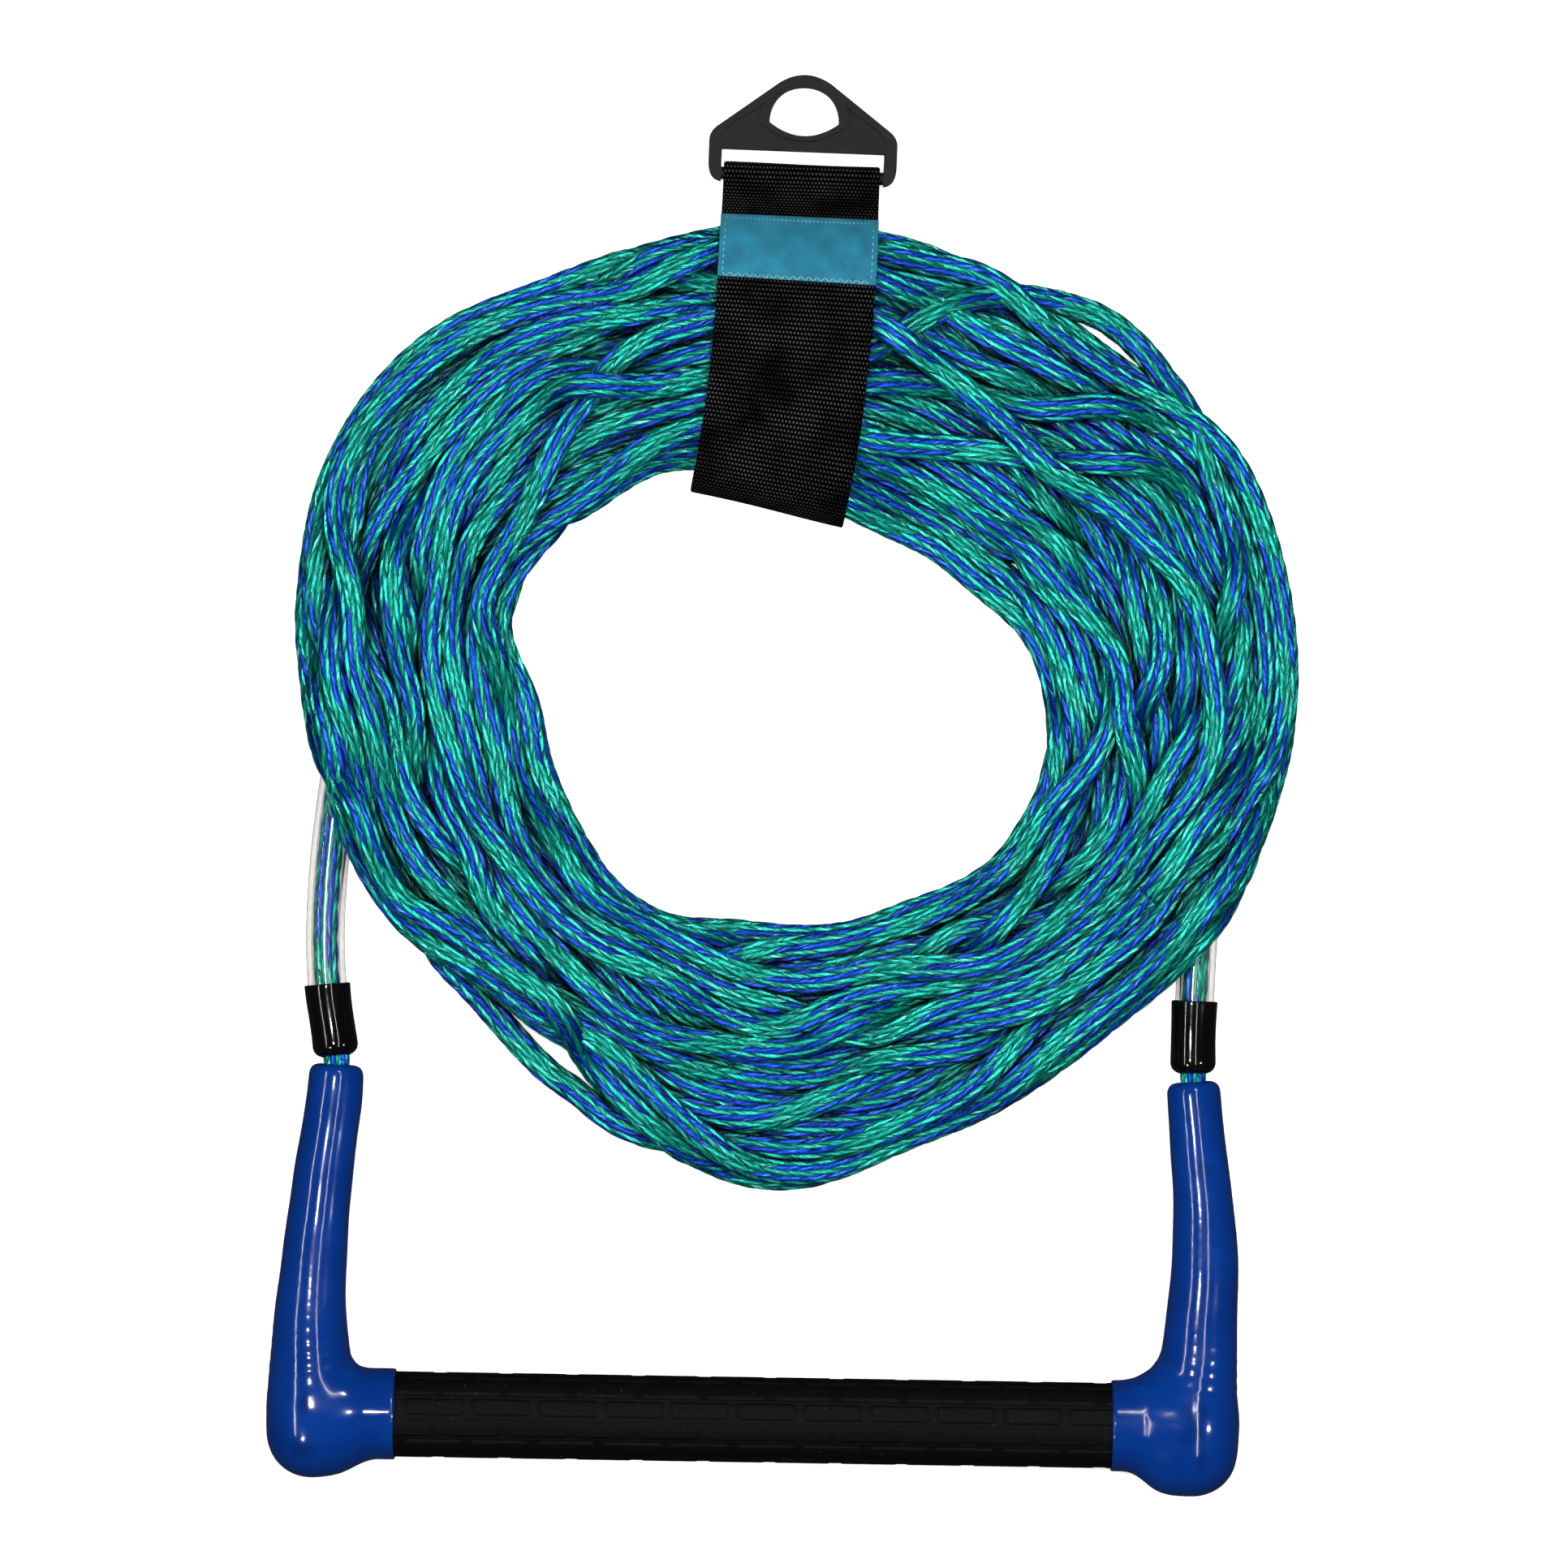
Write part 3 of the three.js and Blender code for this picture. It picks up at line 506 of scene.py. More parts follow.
def webbing_material():
    """Black polyester webbing with flat ribs, and painted highlights: staggered rows of small bright
    dots on the crests of the weave.
    """
    n = Nodes("webbing")
    across, along = n.pattern()
    cloth = n.vector(across, along)
    row = along / WEFT
    column = across / WARP + row.floor().odd() * 0.5
    rib = (row.fract() * math.pi).sine()
    bead = (column.fract() * math.pi).sine()
    dot = rib ** 4.5 * bead ** 4.0
    # painted highlight: bright dots on the weave's crests, fading in and out with a cloud
    painted_crest_highlight = dot * n.remap(n.noise(cloth, 60.0), 0.35, 0.65, 0.15, 1.0)
    fuzz = n.noise(cloth, 2200.0, 2.0)
    return n.finish(
        n.mix(painted_crest_highlight, (0.0002, 0.0002, 0.0003), (0.12, 0.12, 0.125)),
        n.remap(painted_crest_highlight, 0.0, 1.0, 1.0, 0.6),
        Normal=n.bump(dot + rib * 0.12 + fuzz * 0.2, 0.3 * MM, 0.5),
        Specular_IOR_Level=0.04,
    )


def closure_material(name, hooks):
    """Hook-and-loop tape: stiff little rows for the hooks, soft matted fuzz for the loops."""
    n = Nodes(name)
    fuzz = n.noise(n.place(), 1500.0 if hooks else 600.0, 4.0, 0.7)
    return n.finish(
        n.mix(fuzz, (0.002, 0.002, 0.002), (0.03, 0.03, 0.03)),
        0.9,
        Normal=n.bump(fuzz, 0.6 * MM, 0.9),
        Sheen_Weight=0.0 if hooks else 0.3,
    )


def label_material():
    """Woven label cloth, teal with a satin lie and a few worn, paler places."""
    n = Nodes("label_cloth")
    across, along = n.pattern()
    weft = (along * (TURN / (0.28 * MM))).sine()
    warp = (across * (TURN / (0.35 * MM))).sine()
    cloud = n.noise(n.vector(across, along), 130.0, 4.0, 0.6)
    worn = n.noise(n.vector(across, along * 0.2), 40.0, 2.0)
    colour = n.mix(n.remap(cloud, 0.35, 0.65), (0.004, 0.165, 0.270), (0.014, 0.270, 0.410))
    return n.finish(
        n.mix(n.remap(worn, 0.5, 0.75, 0.0, 0.35), colour, (0.03, 0.38, 0.52)),
        n.remap(cloud, 0.3, 0.7, 0.5, 0.75),
        Normal=n.bump(weft * 0.5 + warp * 0.25, 0.06 * MM, 0.8),
        Sheen_Weight=0.1,
    )


def thread_material(name, colour):
    """Spun thread, with painted shade: darker where its fine bump is low, between its plies."""
    n = Nodes(name)
    ply = n.noise(n.place(), 2500.0, 2.0)
    # painted shade: the same noise makes the bump and darkens its hollows
    return n.finish(n.mix(ply, shade_of(colour, 0.6), colour), 0.6, Normal=n.bump(ply, 0.1 * MM, 0.6))


def floor_material():
    """A pale floor that glows to stay near white, and more so far away."""
    n = Nodes("floor")
    where = n.place()
    return n.finish(
        n.mix(n.noise(where, 300.0, 2.0), (0.93, 0.93, 0.93), (0.95, 0.95, 0.95)),
        0.9,
        Emission_Color=(1, 1, 1, 1),
        Emission_Strength=n.remap(n.distance(where), 0.8, 4.0, 0.65, 1.0),
    )


WEFT = 1.45 * MM  # from one row of the webbing's weave to the next
WARP = 1.15 * MM  # from one stitch of a row to the next
# The coil's rope has painted shade in the gaps between its strands; the other ropes have not.
COIL_LOOK = braid_material("rope_braid_coil", paint_gap_shade=True)
ROPE_LOOK = braid_material("rope_braid", paint_gap_shade=False)
CLEAR_LOOK = clear_material()
# Where each boot is stained, and how widely.
BOOT_STAINS = {
    "left": [((-0.1405, -0.1955, 0.0285), 0.003), ((-0.142, -0.209, 0.0275), 0.004)],
    "right": [((0.1395, -0.1985, 0.0285), 0.005), ((0.138, -0.2045, 0.0285), 0.004),
              ((0.1415, -0.122, 0.019), 0.003), ((0.1405, -0.2125, 0.028), 0.003)],
}  # fmt: skip
CAP_LOOK = vinyl_material("cap_vinyl", (0.002, 0.002, 0.0022), (0.001, 0.001, 0.001), 0.10)
GRIP_LOOK = rubber_material()
WEBBING_LOOK = webbing_material()
LABEL_LOOK = label_material()
TEAL_THREAD = thread_material("label_thread", (0.30, 0.70, 0.80))
WHIPPING_LOOK = thread_material("whipping_twine", (0.02, 0.02, 0.022))
HANGER_LOOK = plastic_material("hanger_plastic", (0.0042, 0.0042, 0.0050), 0.52)
PLUG_LOOK = plastic_material("plug_plastic", (0.03, 0.032, 0.035), 0.45)


# ---------------------------------------------------------------- rope
ROPES = bpy.data.collections.new("ropes")  # what the two lights for the rope's sheen fall on
RELIEF = 0.60 * MM  # from the gaps between the yarns up to their crowns


def braid_height(around, along):
    """How far the yarns stand proud, 0 to 1, laid out as in the rope's material."""
    strip = around * 2 * CARRIERS
    column, across = np.floor(strip), strip % 1
    odd = column % 2
    place = along * CARRIERS + 0.5 * odd + (1 - 2 * odd) * SLANT * (across - 0.5)
    return np.sin(math.pi * (place % 1)) ** 0.7 * np.sin(math.pi * across) ** 0.6


def rope_mesh(
    name, path, body, start=0.0, step=1.1 * MM, sides=36, radius=3.9 * MM, flat=0.04, look=ROPE_LOOK
):
    """A braided rope along a path. start is how far along the whole rope it begins, so that the braid
    runs on from piece to piece. The rope lies a little flat, as a hollow braid does."""
    line = evenly(path, step)
    for _ in range(2):
        line[1:-1] = (line[:-2] + 2 * line[1:-1] + line[2:]) / 4
    _, side, up = frames(line)
    distance = start + np.arange(len(line)) * length_of(path) / (len(line) - 1)
    around = np.arange(sides) / sides
    lay = 1.1 * np.sin(distance * 5.3 + 0.7) + 0.7 * np.sin(distance * 13.1) + distance * 2.0
    uneven = 0.05 * np.sin(distance * 23.0 + 0.4) + 0.03 * np.sin(distance * 61.0)
    along = distance / BRAID_PITCH + uneven
    height = braid_height(around[None, :], along[:, None])
    wide = 1 + flat * (1 + 0.6 * np.sin(distance * 41.0) + 0.4 * np.sin(distance * 97.0 + 1.0))
    reach = radius - RELIEF * 0.62 + RELIEF * height
    angle = TURN * around[None, :] + lay[:, None]
    sideways = reach * np.cos(angle) * wide[:, None]
    upwards = reach * np.sin(angle) / wide[:, None]
    rings = line[:, None] + sideways[..., None] * side[:, None] + upwards[..., None] * up[:, None]
    uv = wrap_uv(len(line), sides, around, along)
    made = ring_mesh(name, rings, body, look, uv)
    ROPES.objects.link(made)
    return made, line


# ---------------------------------------------------------------- the coil
COIL_CENTRE = np.array([10.8, 27]) * MM
TURNS = 28
STEP = 7 * MM  # between the points of the rope while it settles
BUNDLED = 0.93  # bundled ropes press into each other to this share of a diameter
PILE_HEIGHT = 25.5 * MM  # of the top rope's centre line
LAY_ANGLE = math.radians(57.9)  # where the main line leaves the seizing
# The pile's outline round its centre: radii every 15 degrees, anticlockwise from +X.
PILE_OUTER = np.array([
    161.6, 163, 163, 152, 151, 151, 151, 151, 153.4, 163, 165, 160,
    153.7, 149.5, 143.9, 133, 135, 149, 156, 148, 147, 147.5, 155.6, 158.5,
]) * MM  # fmt: skip
PILE_INNER = np.array([
    81.5, 77, 67.7, 63.7, 60, 61, 67, 75, 82.7, 85.3, 90.1, 91.5,
    79, 77.5, 77, 79, 78.5, 73, 72, 73.6, 74.8, 81, 83.8, 84,
]) * MM  # fmt: skip
# Where a turn is drawn to: its number, an angle, the share of the way out, and how far the pull
# reaches, in degrees. A share over 1 is a loose loop outside the pile. The last turns lie on top.
PULLS = [
    (26, 95, 0.80, 50), (26, 51, 1.36, 34), (25, 275, 0.80, 40), (25, 234, 1.42, 34),
    (24, 15, 0.95, 45), (24, -30, 0.75, 45), (24, -75, 0.35, 45), (24, -115, 0.25, 45),
    (25, 15, 0.90, 45), (25, -30, 0.60, 45), (25, -75, 0.10, 45), (25, -115, 0.03, 45),
    (26, 10, 0.78, 45), (26, -30, 0.50, 45), (26, -75, 0.18, 45), (26, -115, 0.16, 45),
    (27, 70, 0.62, 45), (27, 20, 0.70, 45), (27, -30, 0.62, 45), (27, -75, 0.40, 45),
    (27, -115, 0.33, 45),
]  # fmt: skip

# The strap's loop round the coil, as (y, z) along its middle, and how it leans.
STRAP_WIDTH = 49.6 * MM
STRAP_THICK = 1.4 * MM
STRAP_TOP = np.array([15.5, 197]) * MM
STRAP_RUN = 110 * MM
STRAP_LEAN = (math.radians(2.2), math.radians(11))
STRAP_FRONT = np.array([
    (174, 0.85), (100, 0.85), (95, 1.2), (90.5, 3.4), (88, 8), (87.6, 14), (90, 21), (97, 27.2),
    (108, 30.2), (125, 31.2), (145, 30.8), (160, 28.6), (171, 23.6), (179, 16.6), (185.5, 9.8),
    (189.5, 7.4),
]) * MM  # fmt: skip
# The height of the rope's centre line under the strap, by y.
STRAP_ROOF = np.array([
    (80, 3), (90, 16), (97, 22.3), (108, 25.3), (125, 26.3), (145, 25.9), (160, 23.7), (171, 18.5),
    (179, 11.5), (186, 5),
]) * MM  # fmt: skip

# Strands that bow out of the pile: angle in degrees, radius, and reach along the strand.
STRAYS = [(50, 157.5 * MM, 85 * MM), (236, 141 * MM, 75 * MM)]


def strap_middle(y):
    """The strap's middle and its lean at a height on the page."""
    t = np.clip((STRAP_TOP[1] - y) / STRAP_RUN, 0, 1)
    drift = STRAP_RUN * (STRAP_LEAN[0] * t + STRAP_LEAN[1] * t**3 / 3)
    return STRAP_TOP[0] - drift, STRAP_LEAN[0] + STRAP_LEAN[1] * t**2


def ring_radius(radii, angle):
    """A smooth closed outline's radius at an angle, from radii evenly spaced round it."""
    count = len(radii)
    place = angle % TURN / TURN * count
    low = np.floor(place).astype(int)
    t = place - low
    a, b, c, d = (radii[(low + k) % count] for k in (-1, 0, 1, 2))
    cubic = (2 * a - 5 * b + 4 * c - d) * t**2 + (3 * (b - c) + d - a) * t**3
    return 0.5 * (2 * b + (c - a) * t + cubic)


def smooth_noise(random, place, spacing):
    """Smooth noise from -1 to 1 along a line, with a new random value every spacing."""
    values = random.uniform(-1, 1, int(place.max() / spacing) + 4)
    low = (place / spacing).astype(int)
    t = eased_in(place / spacing - low)
    return values[low] * (1 - t) + values[low + 1] * t


def wound_path():
    """The line as it is wound, one turn above the other, before it settles into a pile."""
    random = np.random.default_rng(4)
    total = TURNS * TURN - math.radians(32)
    wound = np.linspace(0, total, TURNS * 120)
    angle = LAY_ANGLE - wound
    sweep = np.abs((wound / TURN / 4.3 + 0.9) % 2 - 1)
    share = 0.5 + 0.88 * (sweep - 0.5)
    share = share + 0.30 * smooth_noise(random, wound, 2.1) + 0.12 * smooth_noise(random, wound, 0.9)
    share = np.clip(share, 0, 1)
    loose_weight = 0.15
    weight = np.full_like(share, loose_weight)
    drawn = weight * share
    for turn, degrees, target, reach in PULLS:
        at = (LAY_ANGLE - math.radians(degrees)) % TURN + TURN * turn
        near = eased_in(np.clip(1 - np.abs(wound - at) / math.radians(reach), 0, 1))
        drawn += near * target
        weight += near
    held = np.clip((weight - loose_weight) * 4, 0, 1)
    share = share * (1 - held) + held * drawn / weight
    for at, target, reach in ((0, 0.60, 0.35), (total, 0.45, 0.5)):
        near = np.exp(-(((wound - at) / reach) ** 2))
        share = share * (1 - near) + target * near
    kernel = np.exp(-0.5 * (np.arange(-18, 19) / 5.5) ** 2)
    share = np.convolve(np.pad(share, 18, "edge"), kernel / kernel.sum(), "valid")

    inner = ring_radius(PILE_INNER, angle) + ROPE / 2
    outer = ring_radius(PILE_OUTER, angle) - ROPE / 2
    radius = inner + share * (outer - inner)
    height = 0.006 + wound / TURN * ROPE * 1.06
    flat = [COIL_CENTRE[0] + radius * np.cos(angle), COIL_CENTRE[1] + radius * np.sin(angle)]
    return evenly(np.stack([*flat, height, radius, share], 1), STEP)


def near_pairs(points, others, reach, skip=-1):
    """Pairs of points and others that are closer than reach, more than skip apart in order."""
    found = []
    mine, theirs = points.astype(np.float32), others.astype(np.float32)
    for start in range(0, len(mine), 256):
        block = mine[start:start + 256]
        gap = [block[:, None, k] - theirs[None, :, k] for k in range(3)]
        i, j = np.nonzero(gap[0] ** 2 + gap[1] ** 2 + gap[2] ** 2 < reach * reach)
        i += start
        keep = np.abs(i - j) > skip
        found.append(np.stack([i[keep], j[keep]], 1))
    return np.concatenate(found)


def closest(points, i, line, j):
    """From the line's segment j to point i: the place along the segment, the way, and the distance."""
    j = np.minimum(j, len(line) - 2)
    segment = line[j + 1] - line[j]
    offset = points[i] - line[j]
    t = (offset * segment).sum(1) / ((segment * segment).sum(1) + 1e-12)
    inside = (t > -0.02) & (t < 1.02)
    t = np.clip(t, 0, 1)
    away = offset - t[:, None] * segment
    distance = np.sqrt((away * away).sum(1)) + 1e-9
    return j, t, away / distance[:, None], distance, inside


def gathered(index, moves, weights, count):
    """The mean of the moves that each point is given, or their sum where they are slight."""
    total = np.stack([np.bincount(index, moves[:, k], count) for k in range(3)], 1)
    return total / np.maximum(np.bincount(index, weights, count), 1)[:, None]


def strap_limits(points):
    """The lowest and highest that the rope's centre line may be at each point, for the strap."""
    middle, _ = strap_middle(points[:, 1])
    beside = np.clip(np.abs(points[:, 0] - middle) - 26.5 * MM, 0, None)
    under = (points[:, 1] > 85 * MM) & (points[:, 1] < 190 * MM) & (beside < 30 * MM)
    roof = np.interp(points[:, 1], STRAP_ROOF[:, 0], STRAP_ROOF[:, 1]) + beside * 0.35
    floor = np.maximum(9.3 * MM - beside * 0.25, ROPE / 2)
    return np.where(under, floor, ROPE / 2), np.where(under, roof, 1.0)


def settle(path, bridle, bridle_radius, steps=440):
    """Lets the wound line fall into a pile: it keeps its length, bends smoothly, stays inside the
    outline and the strap, and lies on the floor, on the bridle and on itself."""
    p = path[:, :3].copy()
    planned, loose = path[:, 3], path[:, 4] > 1
    damping, stiffness, firmness = 0.9, 0.35, 1.25
    reach, bridle_reach = 16.5 * MM, 22 * MM  # within which pairs of points are looked at
    count = len(p)
    rest = length_of(p) / (count - 1)
    start = p[:4].copy()
    start[:, 2] = 5.2 * MM
    fall = p[:, 2].max() / (steps * 0.4)
    before = p.copy()
    for step in range(steps):
        speed = (p - before) * damping
        before = p.copy()
        p += speed * np.minimum(1, fall / (np.abs(speed).max(1, keepdims=True) + 1e-9))
        p[:, 2] -= fall * 0.1
        if step % 10 == 0:
            pairs = near_pairs(p, p, reach, 4)
            still = near_pairs(p, bridle, bridle_reach)
        j, t, away, distance, inside = closest(p, pairs[:, 0], p, pairs[:, 1])
        hit = inside & (distance < ROPE * BUNDLED)
        i, j, t = pairs[hit, 0], j[hit], t[hit]
        push = away[hit] * ((ROPE * BUNDLED - distance[hit]) * 0.5)[:, None]
        index = np.concatenate([i, j, j + 1])
        moves = np.concatenate([push, -push * (1 - t)[:, None], -push * t[:, None]])
        p += gathered(index, moves, np.concatenate([np.ones_like(t), 1 - t, t]), count) * firmness
        j, t, away, distance, _ = closest(p, still[:, 0], bridle, still[:, 1])
        need = bridle_radius[j] + ROPE * 0.47
        hit = distance < need
        push = away[hit] * (need - distance)[hit, None]
        p += gathered(still[hit, 0], push, None, count)
        for first in (0, 1, 0, 1):
            a = np.arange(first, count - 1, 2)
            gap = p[a + 1] - p[a]
            size = np.sqrt((gap * gap).sum(1)) + 1e-9
            gap *= ((size - rest) / size * 0.5)[:, None]
            p[a] += gap
            p[a + 1] -= gap
        bent = (4 * (p[1:-3] + p[3:-1]) - (p[:-4] + p[4:])) / 6
        p[2:-2] += (bent - p[2:-2]) * stiffness
        offset = p[:, :2] - COIL_CENTRE
        radius = np.sqrt((offset * offset).sum(1))
        angle = np.arctan2(offset[:, 1], offset[:, 0])
        crowned = 10 * MM * np.clip((p[:, 2] - 10 * MM) / (18 * MM), 0, 1) ** 2 + ROPE / 2
        outer = ring_radius(PILE_OUTER, angle) - crowned
        inner = ring_radius(PILE_INNER, angle) + crowned
        wanted = np.clip(radius, inner, np.maximum(outer, loose * planned))
        wanted += 0.012 * (planned - radius)
        p[:, :2] += offset * ((wanted - radius) / radius * 0.6)[:, None]
        lowest, highest = strap_limits(p)
        p[:, 2] = np.minimum(p[:, 2], highest + max(0.0, 0.24 * (1 - 2 * step / steps)))
        if step > steps / 2:
            p[:, 2] -= 0.25 * np.clip(p[:, 2] - PILE_HEIGHT, 0, None)
        p[:, 2] = np.maximum(p[:, 2], lowest)
        p[:4] = start
    return p


# ---------------------------------------------------------------- camera, light and floor
def add_camera():
    """Looks straight down from 2.4 m, with the part's height filling nine tenths of the view."""
    data = bpy.data.cameras.new("camera")
    data.lens = 173.2
    data.sensor_width = 36
    data.clip_end = 20  # past the backdrop
    camera = bpy.data.objects.new("camera", data)
    camera.location = (9.75 * MM, -0.13 * MM, 2.4)
    bpy.context.scene.collection.objects.link(camera)
    bpy.context.scene.camera = camera


def turn_towards(way):
    """The turn that points a light's -Z along way, with its own Y kept along the page's."""
    way = way / np.linalg.norm(way)
    return math.asin(np.clip(way[1], -1, 1)), -math.atan2(way[0], -way[2]), 0.0


def add_light(name, place, aim, size, power, glossy=True, only=None):
    """An area light. With only, a collection, it gives nothing but a sheen, and only to that."""
    data = bpy.data.lights.new(name, "AREA")
    data.shape = "RECTANGLE"
    data.size, data.size_y = size
    data.energy = power
    light = bpy.data.objects.new(name, data)
    light.location = place
    light.rotation_euler = turn_towards(np.array(aim, float) - np.array(place, float))
    light.visible_glossy = glossy
    if only:
        light.light_linking.receiver_collection = only
        light.visible_diffuse = False
    bpy.context.scene.collection.objects.link(light)


def add_backdrop(material):
    """A plain pale floor that runs up into a round backdrop. Only the camera sees it."""
    turn = np.arange(64) / 64 * TURN
    level, bend, dome = 5, 3, 5  # the level floor's radius, the bend's, and the dome's height over it
    rise = np.linspace(0.2, math.pi / 2, 8)
    over = np.linspace(0.2, 1.56, 10)
    profile = [(0.5, 0), (2, 0), (level, 0)]
    profile += [(level + bend * math.sin(t), bend - bend * math.cos(t)) for t in rise]
    profile += [((level + bend) * math.cos(t), bend + dome * math.sin(t)) for t in over]
    points = [(r * math.cos(t), r * math.sin(t), z) for r, z in profile for t in turn]
    mesh = bpy.data.meshes.new("floor")
    centre = [list(range(len(turn)))[::-1]]
    mesh.from_pydata(points, [], centre + wrap_quads(len(profile), len(turn)).tolist())
    mesh.polygons.foreach_set("use_smooth", np.ones(len(mesh.polygons), bool))
    mesh.materials.append(material)
    floor = bpy.data.objects.new("floor", mesh)
    floor.location.z = -0.4 * MM
    floor.visible_glossy = False
    floor.visible_diffuse = False
    floor.visible_shadow = False
    bpy.context.scene.collection.objects.link(floor)


def add_studio():
    """A soft light overhead, and small ones and two strips that draw the highlights."""
    world = bpy.data.worlds.new("studio")
    world.use_nodes = True
    background = world.node_tree.nodes["Background"]
    background.inputs["Color"].default_value = (1, 1, 1, 1)
    background.inputs["Strength"].default_value = 0.03
    bpy.context.scene.world = world
    bpy.context.scene.view_settings.view_transform = "Standard"
    add_light("overhead", (0.0, 0.25, 1.9), (0, 0, 0), (0.7, 0.6), 13, glossy=False)
    add_light("key", (-0.21, -0.02, 1.12), (0, 0, 0), (0.07, 0.045), 2.0)
    add_light("strip_left", (-1.5, 0.1, 1.55), (0, -0.05, 0), (0.035, 1.9), 8)
    add_light("strip_right", (0.36, 0.1, 1.2), (0, -0.05, 0), (0.02, 1.5), 3)
    add_light("rope_sheen_one", (0.10, 0.25, 1.6), (0, 0, 0), (0.30, 0.22), 34, only=ROPES)
    add_light("rope_sheen_two", (-0.45, 0.10, 1.5), (0, 0, 0), (0.14, 0.20), 9, only=ROPES)
    add_light("spark_one", (0.30, 0.85, 1.3), (0, 0, 0), (0.08, 0.08), 3.6)
    add_light("spark_two", (-0.62, -0.75, 1.2), (0, 0, 0), (0.10, 0.10), 3.6)
    add_light("spark_three", (0.75, -0.25, 0.8), (0, 0, 0), (0.10, 0.10), 2.4)


add_camera()
add_studio()
add_backdrop(floor_material())


# ---------------------------------------------------------------- cords
BRIDLE = smooth_curve(BRIDLE_ROUTE, 2 * MM)
BRIDLE_LENGTH = length_of(BRIDLE)


def from_neck(side, start, end, step=1 * MM):
    """The bridle's line between two distances from one of its necks."""
    if side == "left":
        return stretch(BRIDLE, start, end, step)
    return stretch(BRIDLE, BRIDLE_LENGTH - start, BRIDLE_LENGTH - end, step)


def bridle_obstacle():
    """The bridle with its tubes and caps, as a line with a radius at each point."""
    line = evenly(BRIDLE, STEP)
    along = np.arange(len(line)) * BRIDLE_LENGTH / (len(line) - 1)
    neck = np.minimum(along, BRIDLE_LENGTH - along)
    radius = np.where(neck < CLEAR_START + CLEAR_LENGTH, CLEAR_RADIUS, ROPE / 2 - 0.3 * MM)
    at_upper_cap = np.abs(neck - UPPER_CAP_END + CAP_LENGTH / 2) < 12 * MM
    capped = (neck < LOWER_CAP_START + CAP_LENGTH) | at_upper_cap
    return line, np.where(capped, CAP_RADIUS, radius)


def eased(line, tightest=22 * MM, rounds=240):
    """Opens out any bend that has settled tighter than the rope would lie."""
    line = line.copy()
    spread = np.ones(9)
    for _ in range(rounds):
        back, ahead = line[2:-2] - line[:-4], line[4:] - line[2:-2]
        lengths = np.linalg.norm(back, axis=1) * np.linalg.norm(ahead, axis=1)
        turned = np.arccos(np.clip((back * ahead).sum(1) / lengths, -1, 1))
        tight = turned * tightest > np.sqrt(lengths)
        tight = np.convolve(np.pad(tight, 2).astype(float), spread, "same") > 0
        tight[:6] = False
        tight = tight[1:-1]
        if not tight.any():
            break
        halfway = (line[:-2] + line[2:]) / 2
        line[1:-1][tight] += 0.5 * (halfway - line[1:-1])[tight]
    return line


def drawn_out(line, angle, outer, reach):
    """Bows the outermost strand at an angle round the coil out to a radius, clear of the pile."""
    flat = line[:, :2] - COIL_CENTRE[:2]
    radius = np.hypot(flat[:, 0], flat[:, 1])
    turned = np.abs((np.arctan2(flat[:, 1], flat[:, 0]) - angle + math.pi) % TURN - math.pi)
    peak = int(np.argmax(np.where(turned < 0.05, radius, 0)))
    steps = np.abs(np.arange(len(line)) - peak) * length_of(line) / (len(line) - 1)
    near = eased_in(np.clip(1 - steps / reach, 0, 1))
    push = max(0.0, outer - radius[peak]) * near
    line = line.copy()
    line[:, :2] += flat / radius[:, None] * push[:, None]
    line[:, 2] += (ROPE / 2 - line[:, 2]) * near
    return line


def build_main_line(pieces=8):
    """The coiled tow line, in pieces that run on into each other."""
    line = eased(settle(wound_path(), *bridle_obstacle()))
    for degrees, outer, reach in STRAYS:
        line = drawn_out(line, math.radians(degrees), outer, reach)
    line = smooth_curve(line, 1.25 * MM, 6)
    cut = np.linspace(0, len(line) - 1, pieces + 1).astype(int)
    whole = length_of(line)
    share = whole / (len(line) - 1)
    for k in range(pieces):
        part = line[cut[k]:cut[k + 1] + 1]
        rope, middle = rope_mesh(f"main_line_{k + 1}", part, "coil", cut[k] * share, look=COIL_LOOK)
        waypoints(middle)  # fmt: skip
        if k == 0:
            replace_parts(rope, "main_line_coil")
    print(f"main line: {whole:.2f} m")


build_main_line()

HANDLE_ROPE_ROUTE = np.array([
    (-132, -87.6, 8.4), (-132.6, -98, 9.1), (-134.2, -110, 9.8), (-136.4, -126, 10.8),
    (-138.1, -141, 11.8), (-139.2, -155, 12.8), (-139.6, -168, 13.6), (-138.8, -180, 14.2),
    (-135, -191, 14.5), (-126.5, -197.6, 14.5), (-112, -199.3, 14.5), (-60, -200.2, 14.5),
    (0, -201.15, 14.5), (60, -202.1, 14.5), (112, -203, 14.5), (126.5, -201.6, 14.5),
    (135, -195.2, 14.5), (139.4, -184, 14.2), (141.2, -172, 13.6), (142.1, -158, 12.8),
    (142.4, -143, 11.8), (142, -128, 10.8), (141.1, -116, 9.9), (139.9, -103, 9.1),
    (139.4, -93.2, 8.4),
]) * MM  # fmt: skip
HANDLE_ROPE = smooth_curve(HANDLE_ROPE_ROUTE, 1 * MM)
HANDLE_ROPE_LENGTH = length_of(HANDLE_ROPE)
NECK_INSIDE = 9 * MM  # how far a neck's rope reaches into its cap and its boot


def build_neck(side):
    """The bare rope between a cap and a boot."""
    bridle = from_neck(side, NECK_INSIDE, 0)
    end = 0 if side == "left" else HANDLE_ROPE_LENGTH
    handle = stretch(HANDLE_ROPE, end, abs(end - NECK_INSIDE), 1 * MM)
    line = np.vstack([bridle, handle[1:]])
    neck, _ = rope_mesh(f"neck_rope_{side}", line, None, 0.4, step=0.6 * MM)
    reach = NECK_GAP * 0.75
    above = from_neck(side, 0, reach, reach)[-1]
    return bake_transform(neck)


